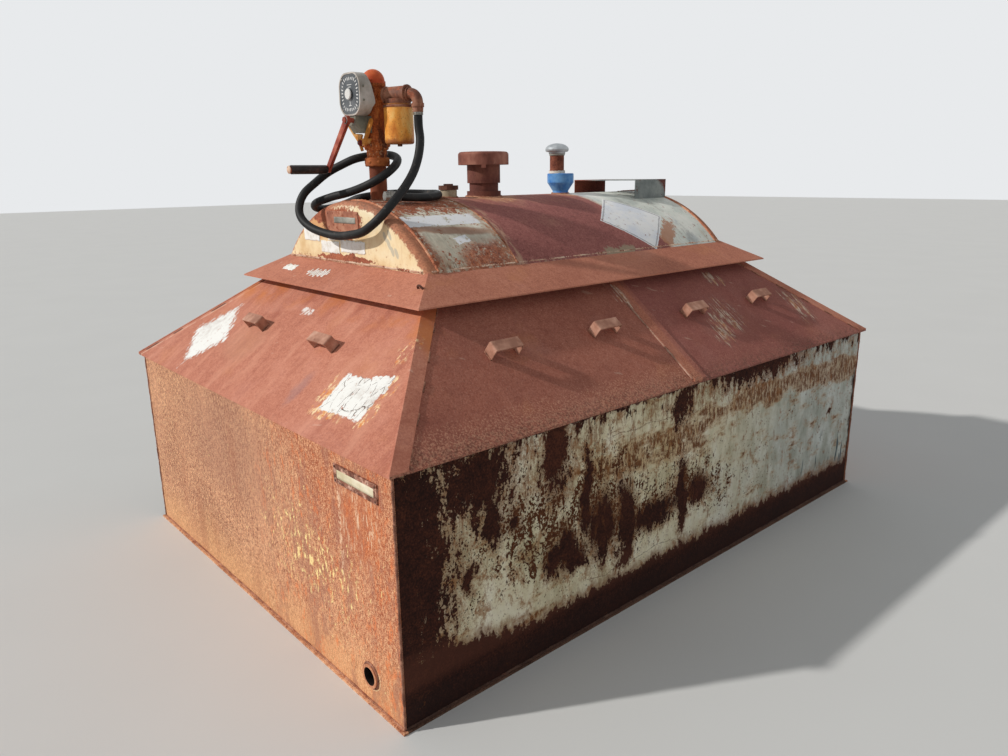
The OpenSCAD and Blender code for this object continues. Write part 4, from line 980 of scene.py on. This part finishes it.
def tube(points, radius, sides):
    """Rings of a radius round a line, closed at its ends: p + r (cos a n + sin a b)."""
    normal, other = cross_axes(points)
    radius = np.broadcast_to(np.asarray(radius, float), (len(points),))
    a = turn_angles(sides)
    ring = np.cos(a) * normal[:, None] + np.sin(a) * other[:, None]
    return closed_rings(points[:, None] + radius[:, None, None] * ring, points[[0, -1]])


def lathe(profile, sides, centre=(0, 0, 0), axis=(0, 0, 1)):
    """A profile of (radius r, height h) turned about an axis w: c + h w + r (cos a s + sin a t). Its end
    radii are 0, so it is closed."""
    profile = np.asarray(profile, float)
    axis = np.asarray(axis, float) / np.linalg.norm(axis)
    side = np.cross(axis, np.array([1.0, 0, 0]) if abs(axis[0]) < 0.9 else np.array([0, 1.0, 0]))
    side /= np.linalg.norm(side)
    a = turn_angles(sides)
    ring = np.cos(a) * side + np.sin(a) * np.cross(axis, side)
    spine = np.asarray(centre) + profile[:, 1, None] * axis
    return closed_rings(spine[1:-1, None] + profile[1:-1, 0, None, None] * ring, spine[[0, -1]])


def bulged_box(centre, half, power=0.35):
    """A rounded block: a super-ellipsoid, sign(cos) |cos|^p on each axis."""
    def bulge(t):
        return np.sign(t) * np.abs(t) ** power

    u = turn_angles(24)[:, 0]
    v = np.linspace(-np.pi / 2, np.pi / 2, 13)[1:-1, None]
    rings = np.stack([bulge(np.cos(v)) * bulge(np.cos(u)), bulge(np.cos(v)) * bulge(np.sin(u)),
                      np.broadcast_to(bulge(np.sin(v)), (len(v), len(u)))], -1)
    ends = np.array([[0, 0, -1], [0, 0, 1]])
    return closed_rings(centre + rings * half, centre + ends * np.asarray(half))


def slab(top, normal, thick):
    """A closed sheet: a grid of points, the same grid a thickness behind it, and faces round the rim."""
    rows, columns = top.shape[:2]
    back = top - np.asarray(normal, float) * thick
    count = rows * columns
    faces = grid_faces(rows, columns)
    index = np.arange(count).reshape(rows, columns)
    rim = np.concatenate([index[0, :], index[1:, -1], index[-1, -2::-1], index[-2:0:-1, 0]])
    after = np.roll(rim, -1)
    edge = np.stack([rim, rim + count, after + count, after], 1)
    return np.vstack([top.reshape(-1, 3), back.reshape(-1, 3)]), [*faces, *(faces[:, ::-1] + count), *edge]


# Hose

# Its coupling and its route round the pump, from the top of the tank under the pump
PUMP_FOOT = np.array((0.0, PUMP_Y, TANK_TOP))
HOSE_START = (0.18642, 0.04995, 0.2863)
HOSE_ROUTE = (
    (0.196, 0.047, 0.198), (0.208, 0.029, 0.146), (0.221, -0.003, 0.094), (0.234, -0.049, 0.046),
    (0.246, -0.103, 0.002), (0.245, -0.147, -0.038), (0.216, -0.171, -0.071),
    (0.165, -0.179, -0.096), (0.095, -0.183, -0.108), (0.020, -0.187, -0.114),
    (-0.060, -0.199, -0.106), (-0.130, -0.211, -0.088), (-0.180, -0.217, -0.056),
    (-0.200, -0.209, -0.016), (-0.198, -0.187, 0.026), (-0.190, -0.143, 0.063),
    (-0.180, -0.098, 0.096), (-0.142, -0.062, 0.122), (-0.098, -0.025, 0.144),
    (-0.070, 0.035, 0.154), (-0.022, 0.069, 0.154), (0.032, 0.063, 0.140), (0.068, 0.027, 0.116),
    (0.072, -0.019, 0.086), (0.040, -0.057, 0.058), (-0.020, -0.075, 0.038),
    (-0.080, -0.089, 0.024), (-0.140, -0.109, 0.012), (-0.204, -0.136, -0.008),
    (-0.250, -0.120, -0.026), (-0.266, -0.076, -0.035), (-0.249, -0.031, -0.028),
    (-0.206, -0.008, -0.014), (-0.152, 0.011, 0.004), (-0.112, 0.063, 0.014),
    (-0.096, 0.123, 0.018), (-0.076, 0.183, 0.018), (-0.030, 0.227, 0.016), (0.030, 0.231, 0.016),
    (0.082, 0.199, 0.012), (0.112, 0.143, 0.008), (0.122, 0.079, 0.008), (0.112, 0.013, 0.012),
)
HOSE_D = 0.029
HOSE_STRAIGHT = 0.045
FERRULE_LONG = 0.009


def make_hose():
    """The hose, one smooth tube through the points of its route."""
    start = np.array(HOSE_START)
    route = np.vstack([start, start - (0, 0, HOSE_STRAIGHT), HOSE_ROUTE]) + PUMP_FOOT
    line = even_route(smooth_route(route, 12), 0.007)
    hose = add_mesh("hose_tube", tube(line, HOSE_D / 2, 20), "hose_rubber")
    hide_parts("hose")
    return line


hose_line = make_hose()


# Weld beads

def bead(points, radius, pitch=0.006, seed=0, sides=6):
    """A weld bead: a tube whose radius swells once a pitch, on a slightly unsteady line."""
    path = even_route(points, pitch / 3)
    rng = np.random.default_rng(seed)
    steps = np.arange(len(path))
    swell = 1 + 0.16 * np.cos(steps * 2 * np.pi / 3) + 0.10 * rng.standard_normal(len(path))
    swell *= 1 + 0.15 * np.sin(steps * 0.11 + seed)
    path = path + rng.standard_normal((len(path), 3)) * 0.0004
    return tube(path, radius * swell, sides)


def on_cover(y, run, lift):
    """Points on the right side cover, a run in from its lower edge, lifted off its face."""
    x = COVER_X - run + lift * math.sin(SLOPE)
    z = EDGE_Z + run * math.tan(SLOPE) + lift * math.cos(SLOPE)
    return np.stack(np.broadcast_arrays(x, y, z), -1)


def on_end_cover(x, run, lift):
    """The same on the front cover."""
    y = -COVER_Y + run - lift * math.sin(SLOPE)
    z = EDGE_Z + run * math.tan(SLOPE) + lift * math.cos(SLOPE)
    return np.stack(np.broadcast_arrays(x, y, z), -1)


def on_flashing(x, up, lift):
    """Points on the front flashing, so far up its slope from the lower edge, lifted off its face."""
    y = FLASH_EDGE_Y + up * math.cos(FLASH_SLOPE) - lift * math.sin(FLASH_SLOPE)
    z = FLASH_EDGE_Z + up * math.sin(FLASH_SLOPE) + lift * math.cos(FLASH_SLOPE)
    return np.stack(np.broadcast_arrays(x, y, z), -1)


def make_dike_welds():
    floor_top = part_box("floor_plate")[1].z
    foot = floor_top + 0.0005
    side, end = WALL_X + 0.001, -WALL_Y - 0.001
    upright = bead([(WALL_X, -WALL_Y, floor_top), (WALL_X, -WALL_Y, WALL_TOP - 0.012)], 0.0035, 0.005, 1, 8)
    along = bead([(side, -WALL_Y, foot), (side, WALL_Y, foot)], 0.0036, 0.007, 2)
    across = bead([(-WALL_X, end, foot), (WALL_X, end, foot)], 0.0036, 0.007, 3)
    add_mesh("dike_corner_welds", four_ways(upright), "weld_rust")
    add_mesh("dike_foot_welds", both_sides(along), "dark_weld")
    add_mesh("dike_end_welds", both_ends(across), "brown_weld")
    a = np.linspace(0, 2 * np.pi, 60)
    around = np.stack([np.cos(a), np.zeros_like(a), np.sin(a)], -1)
    ring = np.array([DRAIN.x, -WALL_Y - 0.0005, DRAIN.z]) + (DRAIN_R + 0.001) * around
    add_mesh("drain_weld", bead(ring, 0.0042, 0.006, 4, 8), "weld_rust")


def make_cover_welds():
    """Short tacks along the laps at the hips, and beads beside the strips over the side joints."""
    tacks = []
    for k, start in enumerate((0.018, 0.095, 0.17, 0.245, 0.325, 0.372)):
        run = np.linspace(start, start + 0.026, 8)
        path = on_cover(-COVER_Y + run + HIP_LAP + 0.001, run, 0.0008)
        tacks.append(bead(path, 0.0032, 0.005, 10 + k))
    add_mesh("hip_tacks", four_ways(joined(tacks)), "weld_rust")
    front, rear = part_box("seam_strips")
    run = np.linspace(0.012, COVER_RUN - 0.012, 60)
    seam = bead(on_cover(front.y - 0.001, run, 0.0008), 0.0033, seed=21, sides=8)
    seam_far = bead(on_cover(rear.y + 0.001, run, 0.0008), 0.0026, seed=22, sides=8)
    add_mesh("seam_welds", both_sides(joined([seam, seam_far])), "pale_weld")


# Handles: where their feet stand along the sides and across the ends, and how far up the cover
SIDE_HANDLES = (-0.710, -0.256, 0.256, 0.710)
END_HANDLES = (-0.244, 0.244)
HANDLE_UP = 0.288
HANDLE_HALF_WIDE = 0.019
HANDLE_HALF_LONG = 0.0575


def make_handle_welds():
    """A small fillet at each foot of each strap handle."""
    run = np.linspace(HANDLE_UP - HANDLE_HALF_WIDE, HANDLE_UP + HANDLE_HALF_WIDE, 6) * math.cos(SLOPE)
    feet = []
    for places, on_face, twice, seed in ((SIDE_HANDLES, on_cover, both_sides, 30),
                                         (END_HANDLES, on_end_cover, both_ends, 40)):
        for k, at in enumerate(places):
            for foot in (at - HANDLE_HALF_LONG, at + HANDLE_HALF_LONG):
                feet.append(twice(bead(on_face(foot, run, 0.001), 0.0030, 0.005, seed + k)))
    add_mesh("handle_welds", joined(feet), "weld_rust")


def ring_on_tank(x, y, radius, seed):
    """A bead where an upright pipe meets the tank: a circle lifted to the round shell."""
    a = np.linspace(0, 2 * np.pi, 72)
    x, y = x + radius * np.cos(a), y + radius * np.sin(a)
    return bead(np.stack([x, y, TANK_Z + np.sqrt(TANK_R ** 2 - x ** 2)], -1), 0.004, 0.006, seed, 8)


def make_tank_welds():
    reach = math.acos((FLASH_TOP - TANK_Z) / TANK_R)
    a = np.linspace(-reach, reach, 120)

    def hoop(y, radius, pitch, seed):
        path = np.stack([TANK_R * np.sin(a), np.full_like(a, y), TANK_Z + TANK_R * np.cos(a)], -1)
        return bead(path, radius, pitch, seed, 8)

    add_mesh("head_seam_welds", both_ends(hoop(HEAD_SEAM_Y, 0.0048, 0.007, 50)), "orange_weld")
    add_mesh("course_seam_weld", hoop(COURSE_Y, 0.0036, 0.006, 51), "brown_weld")
    x, y, z = FLASH_X + 0.0005, HEAD_Y + 0.02, FLASH_TOP + 0.0005
    side = bead([(x, y, z), (x, -y, z)], 0.0036, 0.006, 52, 8)
    x, y = FLASH_X - 0.02, HEAD_Y - 0.0005
    end = bead([(-x, y, FLASH_TOP), (x, y, FLASH_TOP)], 0.0036, 0.006, 53, 8)
    skirt = joined([both_sides(side), both_ends(end)])
    add_mesh("flashing_welds", skirt, "chipped_weld")
    rings = []
    for k, pipe in enumerate(("pump_riser", "fill_neck", "vent_riser")):
        rings.append(ring_on_tank(middle(pipe).x, middle(pipe).y, half_wide(pipe) + 0.001, 60 + k))
    rings.append(ring_on_tank(0, middle("reducer").y, 0.035, 64))
    add_mesh("fitting_welds", joined(rings), "brown_weld")


# Small fittings

def bolt(centre, axis, across, height, washer=True):
    """A hexagon head with a chamfer, on a round washer or bare, standing on a face at centre."""
    r = across / 2 / math.cos(math.pi / 6)
    flat = across * 0.75
    base = 0.0014 if washer else -0.0005
    head = [(0, base), (r, base), (r, base + height * 0.8), (r * 0.82, base + height), (0, base + height)]
    ring = [(0, -0.001), (flat, -0.001), (flat, 0.0016), (0, 0.0016)]
    under = [lathe(ring, 20, centre, axis)] if washer else []
    return joined([*under, lathe(head, 6, centre, axis)])


def screws(profile, places, axis):
    """The same small round head at several places."""
    return joined([lathe(profile, 12, place, axis) for place in places])


def round_pump(radius, angle, z):
    """The way out from the pump's axis at an angle, and the place a radius along it at a height."""
    out = (math.cos(angle), math.sin(angle), 0)
    return out, (radius * out[0], PUMP_Y + radius * out[1], z)


def make_pump_fittings():
    cap_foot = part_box("pump_cap")[0].z
    rim = half_wide("pump_cap") - 0.0045
    heads = []
    for k in range(6):
        place = round_pump(rim, k * 2 * math.pi / 6 + 0.3, cap_foot + 0.008)[1]
        heads.append(bolt(place, (0, 0, 1), 0.008, 0.005, False))
    add_mesh("cap_bolts", joined(heads), "pump_orange")
    lug = bulged_box((-0.030, PUMP_Y - 0.030, cap_foot + 0.016), (0.010, 0.012, 0.016))
    add_mesh("cap_lug", lug, "dark_rust")
    # bolts round the lower flange of the column
    flange = []
    for k in range(4):
        out, place = round_pump(0.0415, math.radians(38 + 90 * k), 1.533)
        flange.append(bolt(place, out, 0.013, 0.006))
    add_mesh("flange_bolts", joined(flange), "pump_rust")
    # round lugs of the union
    union_z = middle("pump_union").z
    radius = half_wide("pump_union") - 0.001
    profile = [(0, -0.001), (0.006, -0.001), (0.0055, 0.0016), (0, 0.0018)]
    lugs = []
    for k in range(8):
        out, place = round_pump(radius, math.radians(20 + 45 * k), union_z)
        lugs.append(lathe(profile, 12, place, out))
    add_mesh("union_lugs", joined(lugs), "union_orange")
    add_mesh("hook_bolt", bolt((0.0, -0.7275, 1.540), (0, -1, 0), 0.015, 0.007), "bolt_red")
    # four screws on top of the filter head, in the frame of the outlet, which is turned from +X
    c, s = math.cos(OUTLET_TURN), math.sin(OUTLET_TURN)
    corners = ((0.148, 0.012), (0.068, 0.012), (0.148, -0.012), (0.068, -0.012))
    places = [(u * c - v * s, PUMP_Y + u * s + v * c, 1.663) for u, v in corners]
    heads = [bolt(place, (0, 0, 1), 0.009, 0.004, False) for place in places]
    add_mesh("filter_screws", joined(heads), "filter_brown")
    low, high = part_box("filter_canister")
    x, y, _ = middle("filter_canister")
    r = half_wide("filter_canister")
    band = [(0, -0.004), (r - 0.004, -0.004), (r + 0.0018, -0.003), (r + 0.0022, 0.0),
            (r + 0.0018, 0.004), (r - 0.004, 0.005), (0, 0.005)]
    plug = [(0, -0.0075), (0.008, -0.0075), (0.009, -0.006), (0.009, 0.001), (0, 0.001)]
    add_mesh("canister_band", lathe(band, 64, (x, y, high.z - 0.009)), "filter_brown")
    add_mesh("canister_plug", lathe(plug, 6, (x, y, low.z)), "pump_rust")


# Dial: how many marks, the half width and height of their ring, its power, and the plain bars:
# height above the middle, half width and half height
MARKS = 30
MARK_RING = (0.0470, 0.0495)
MARK_POWER = 3.2
DIAL_BARS = ((-0.0255, 0.0016, 0.0100), (-0.0365, 0.0085, 0.0014), (0.0300, 0.0150, 0.0010),
             (0.0225, 0.0100, 0.0010))
METER_SCREW_X = 0.0465
METER_SCREW_Z = 0.0485
BAR_FACES = [(0, 1, 2, 3), (7, 6, 5, 4), (0, 4, 5, 1), (1, 5, 6, 2), (2, 6, 7, 3), (3, 7, 4, 0)]


def make_meter_fittings():
    """Marks of the dial, screws of the meter, and the washer and end disc of the crank."""
    face = METER_FRONT + 0.0018

    def bar(x, z, wide, tall, turn=0.0):
        c, s = math.cos(turn), math.sin(turn)
        corners = [(-wide, -tall), (wide, -tall), (wide, tall), (-wide, tall)]
        flat = [(x + a * c - b * s, METER_Z + z + a * s + b * c) for a, b in corners]
        return np.array([(px, y, pz) for y in (face - 0.0003, face + 0.0006) for px, pz in flat]), BAR_FACES

    bars = []
    for k in range(MARKS):
        t = 2 * math.pi * (k + 0.5) / MARKS
        c, s = math.cos(t), math.sin(t)
        reach = (abs(c) ** MARK_POWER + abs(s) ** MARK_POWER) ** (-1 / MARK_POWER)
        tall = 0.0052 if k % 3 else 0.0038
        bars.append(bar(MARK_RING[0] * reach * c, MARK_RING[1] * reach * s, 0.0019, tall, t - math.pi / 2))
    bars += [bar(0, z, wide, tall) for z, wide, tall in DIAL_BARS]
    add_mesh("dial_marks", joined(bars), "mark_white", smooth=False)
    places = [(x, METER_FRONT + 0.0008, METER_Z + z) for z in (METER_SCREW_Z, -METER_SCREW_Z)
              for x in (-METER_SCREW_X, METER_SCREW_X)]
    rim = screws([(0, 0.0012), (0.0035, 0.0012), (0.003, -0.0012), (0, -0.0016)], places, (0, 1, 0))
    add_mesh("meter_screws", rim, "bright_fitting")
    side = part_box("meter_housing")[1].x - 0.0004
    places = [(side, METER_FRONT + 0.014, METER_Z + z) for z in (-0.022, 0.022)]
    sides = screws([(0, -0.001), (0.0042, -0.001), (0.0036, 0.0018), (0, 0.0022)], places, (1, 0, 0))
    add_mesh("housing_screws", sides, "case_grey")
    grip = middle("crank_grip")
    end = lathe([(0, 0.0006), (0.0140, 0.0006), (0.0132, -0.0012), (0, -0.0018)], 28,
                (grip.x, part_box("crank_arm")[0].y, grip.z), (0, 1, 0))
    add_mesh("crank_end_disc", end, "chipped_weld", "crank")
    washer = lathe([(0, 0.0), (0.0125, 0.0), (0.0125, -0.0014), (0, -0.0014)], 28,
                   (0.008, -0.7856, 1.612), (0, 1, 0))
    add_mesh("crank_washer", washer, "bright_fitting", "crank")


def torn_grid(x0, x1, z0, z1, seed, tear=0.004, step=0.004):
    """A rectangle of points whose outline is torn: its edges are pushed in by a rough random walk."""
    rng = np.random.default_rng(seed)
    columns = max(6, int((x1 - x0) / step))
    rows = max(4, int((z1 - z0) / step))

    def rough(count):
        walk = np.convolve(rng.standard_normal(count + 4), np.ones(3) / 3, "same")[2:-2]
        return np.abs(walk) * tear

    u = np.linspace(0, 1, columns)[None, :]
    v = np.linspace(0, 1, rows)[:, None]
    left, right = rough(rows)[:, None], rough(rows)[:, None]
    foot, head = rough(columns)[None, :], rough(columns)[None, :]
    x = x0 + left + u * (x1 - x0 - left - right)
    z = z0 + foot + v * (z1 - z0 - foot - head)
    return x, z


def facing_front(x, y, z, thick):
    """A sheet with its face towards the front."""
    return slab(np.stack(np.broadcast_arrays(x, y, z), -1), (0, -1, 0), thick)


# Torn white labels on the front head: left, right, foot and top of each
HEAD_LABELS = ((-0.318, -0.198, 1.198, 1.252), (-0.193, -0.060, 1.160, 1.205),
               (-0.055, 0.112, 1.168, 1.214), (-0.140, -0.086, 1.206, 1.226))


def make_head_labels():
    """Torn remains of white labels on the front head, and the data plate with its pale strip."""
    films = []
    for k, (x0, x1, z0, z1) in enumerate(HEAD_LABELS):
        x, z = torn_grid(x0, x1, z0, z1, 70 + k)
        curl = 0.0012 * np.clip((x - x1 + 0.03) / 0.03, 0, 1) ** 2
        films.append(facing_front(x, HEAD_Y - 0.0006 - curl, z, 0.0004))
    add_mesh("head_label_remains", joined(films), "white_film")
    face = HEAD_Y - 0.0022
    x, z = torn_grid(-0.138, 0.077, 1.235, 1.312, 80, 0.0008)
    add_mesh("data_plate", facing_front(x, face, z, 0.002), "plate_rust")
    x, z = torn_grid(-0.084, 0.060, 1.270, 1.292, 81, 0.0006)
    add_mesh("data_plate_strip", facing_front(x, HEAD_Y - 0.0030, z, 0.0007), "strip_grey")
    places = [(x, face, z) for x in (-0.128, 0.067) for z in (1.244, 1.303)]
    rivets = screws([(0, 0.001), (0.0036, 0.0008), (0.003, -0.001), (0, -0.0018)], places, (0, 1, 0))
    add_mesh("data_plate_rivets", rivets, "plate_rust")


# A label on the front flashing that is left in narrow strips: how far up the slope each one starts
# and ends, in millimetres, the left edge of the first, and their pitch and width in metres
STRIPS = ((72, 86), (61, 98), (67, 91), (55, 104), (62, 96), (53, 102), (64, 95), (57, 107), (66, 99),
          (61, 108), (74, 95))
STRIPS_X = -0.190
STRIP_PITCH = 0.0132
STRIP_WIDE = 0.0118


def make_flashing_remains():
    """Torn bits of two white labels on the front flashing, and the small bent lug near its corner."""
    normal = np.array((0, -math.sin(FLASH_SLOPE), math.cos(FLASH_SLOPE)))
    places = [(-0.385, -0.292, 66, 106, 0.008)]
    for k, (lower, upper) in enumerate(STRIPS):
        x = STRIPS_X + STRIP_PITCH * k
        places.append((x, x + STRIP_WIDE, lower, upper, 0.0034))
    bits = []
    for k, (x0, x1, lower, upper, tear) in enumerate(places):
        x, up = torn_grid(x0, x1, lower / 1000, upper / 1000, 110 + k, tear)
        bits.append(slab(on_flashing(x, up, 0.0006), normal, 0.0005))
    add_mesh("flashing_label_remains", joined(bits), "white_film")
    a = np.linspace(-0.15, math.pi + 0.15, 24)[:, None]
    arch = on_flashing(0.505, 0.086, 0) + 0.012 * (np.cos(a) * np.array((1, 0, 0)) + np.sin(a) * normal)
    add_mesh("flashing_lug", tube(arch, 0.0036, 10), "dark_rust")


def make_name_plate():
    """Blank cream plate in the holder on the front wall, with four screws."""
    low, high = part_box("plate_holder")
    rim = 0.0125
    x, z = torn_grid(low.x + rim, high.x - rim, low.z + rim, high.z - rim, 90, 0.0012, 0.006)
    add_mesh("name_plate", facing_front(x, low.y + 0.0012, z, 0.0012), "plate_cream")
    inset = 0.007
    places = [(x, low.y, z) for x in (low.x + inset, high.x - inset) for z in (low.z + inset, high.z - inset)]
    heads = screws([(0, 0.001), (0.0040, 0.0008), (0.0034, -0.0012), (0, -0.0018)], places, (0, 1, 0))
    add_mesh("name_plate_screws", heads, "dark_rust")


def make_edge_crust():
    """Scaly rust under the lower edge of the covers: leaves of random depth along the edge."""
    rng = np.random.default_rng(101)
    count = 620
    y = np.linspace(-COVER_Y + 0.06, COVER_Y - 0.06, count)
    rough = np.abs(np.convolve(rng.standard_normal(count + 8), np.ones(5) / 5, "same")[4:-4])
    deep = 0.0015 + rough * 0.008 * (0.35 + np.exp(-((y + 0.35) / 0.45) ** 2))
    out = 0.0004 + 0.0010 * rng.random(count)
    top = np.stack(np.broadcast_arrays(COVER_X - 0.0030, y, COVER_Z + 0.0035), -1)
    low = np.stack([COVER_X - 0.0030 - out, y, COVER_Z - deep], -1)
    rows = np.stack([top, low, low + np.array([-0.004, 0, 0.001]), top + np.array([-0.008, 0, 0])])
    faces = grid_faces(4, count, close_rows=True)[:, ::-1]
    first = np.arange(4) * count
    crust = (rows.reshape(-1, 3), [*faces, first, (first + count - 1)[::-1]])
    add_mesh("edge_crust", both_sides(crust), "dark_rust", smooth=False)


def make_breather_details():
    """The screen under the breather's cap and the band below it."""
    cap = middle("breather_cap")
    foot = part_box("breather_cap")[0].z
    screen = [(0, -0.001), (0.0352, -0.001), (0.0352, 0.010), (0, 0.010)]
    band = [(0, -0.004), (0.0326, -0.004), (0.0332, -0.003), (0.0332, 0.003), (0.0326, 0.004), (0, 0.004)]
    add_mesh("breather_screen", lathe(screen, 48, (cap.x, cap.y, foot + 0.001)), "cap_grey")
    add_mesh("breather_band", lathe(band, 48, (cap.x, cap.y, foot - 0.003)), "strip_grey")


def make_ferrule():
    """The crimped ferrule at the hose's coupling: its radius swells three times along it."""
    t = np.linspace(0, 1, 28)
    radius = HOSE_D / 2 + 0.0022 + 0.0009 * np.cos(t * 3 * 2 * np.pi)
    profile = [(0, 0), *zip(radius, t * FERRULE_LONG), (0, FERRULE_LONG)]
    first = hose_line[0]
    ferrule = lathe(profile, 32, first + (0, 0, 0.0005), hose_line[4] - first)
    add_mesh("hose_ferrule", ferrule, "bright_fitting")


make_dike_welds()
make_cover_welds()
make_handle_welds()
make_tank_welds()
make_pump_fittings()
make_meter_fittings()
make_head_labels()
make_flashing_remains()
make_name_plate()
make_edge_crust()
make_breather_details()
make_ferrule()


# Camera, lights and floor

def make_camera():
    azimuth, drop, roll = (math.radians(v) for v in (CAMERA_AZIMUTH, CAMERA_DROP, CAMERA_ROLL))
    ahead = Vector((-math.sin(azimuth) * math.cos(drop), math.cos(azimuth) * math.cos(drop), -math.sin(drop)))
    side = Vector((math.cos(azimuth), math.sin(azimuth), 0))
    up = side.cross(ahead)
    right = math.cos(roll) * side + math.sin(roll) * up
    top = math.cos(roll) * up - math.sin(roll) * side
    camera = bpy.data.cameras.new("camera")
    camera.sensor_width = SENSOR
    camera.lens = FOCAL_PIXELS * SENSOR / PHOTO_WIDE
    camera.clip_start = 0.05
    holder = bpy.data.objects.new("camera", camera)
    holder.matrix_world = Matrix((right, top, -ahead)).transposed().to_4x4()
    holder.location = CAMERA_PLACE
    bpy.context.scene.collection.objects.link(holder)
    bpy.context.scene.camera = holder


def make_lights():
    """A key light like low sun, an even fill, and a pale backdrop for the camera and for gloss."""
    key = bpy.data.lights.new("key_light", "SUN")
    key.energy = KEY_STRENGTH
    key.angle = KEY_SIZE
    key.color = (1.0, 0.975, 0.94)
    holder = bpy.data.objects.new("key_light", key)
    holder.rotation_mode = "QUATERNION"
    holder.rotation_quaternion = KEY_TRAVEL.to_track_quat("-Z", "Y")
    bpy.context.scene.collection.objects.link(holder)
    world = bpy.data.worlds.new("studio")
    bpy.context.scene.world = world
    world.use_nodes = True
    tree = world.node_tree
    tree.nodes.clear()
    rays, fill, back, mixed, out, seen = (tree.nodes.new("ShaderNode" + kind) for kind in (
        "LightPath", "Background", "Background", "MixShader", "OutputWorld", "Math"))
    fill.inputs["Color"].default_value = (0.955, 0.98, 1.0, 1)
    fill.inputs["Strength"].default_value = FILL_STRENGTH
    back.inputs["Color"].default_value = linear((232, 234, 236))
    seen.operation = "MAXIMUM"
    for source, target in ((rays.outputs["Is Camera Ray"], seen.inputs[0]),
                           (rays.outputs["Is Glossy Ray"], seen.inputs[1]),
                           (seen.outputs[0], mixed.inputs[0]), (fill.outputs[0], mixed.inputs[1]),
                           (back.outputs[0], mixed.inputs[2]), (mixed.outputs[0], out.inputs["Surface"])):
        tree.links.new(source, target)


@finish
def studio_floor(f):
    return f.noise(1.5, 2).tint((0.3, 216, 216, 214), (0.7, 218, 218, 216)), 0.9


def make_floor():
    reach = 40.0
    mesh = bpy.data.meshes.new("floor")
    corners = [(-reach, -reach, 0), (reach, -reach, 0), (reach, reach, 0), (-reach, reach, 0)]
    mesh.from_pydata(corners, [], [(0, 1, 2, 3)])
    floor = bpy.data.objects.new("floor", mesh)
    bpy.context.scene.collection.objects.link(floor)
    paint(floor, "studio_floor")


make_camera()
make_lights()
make_floor()
bpy.context.scene.view_settings.view_transform = "Standard"
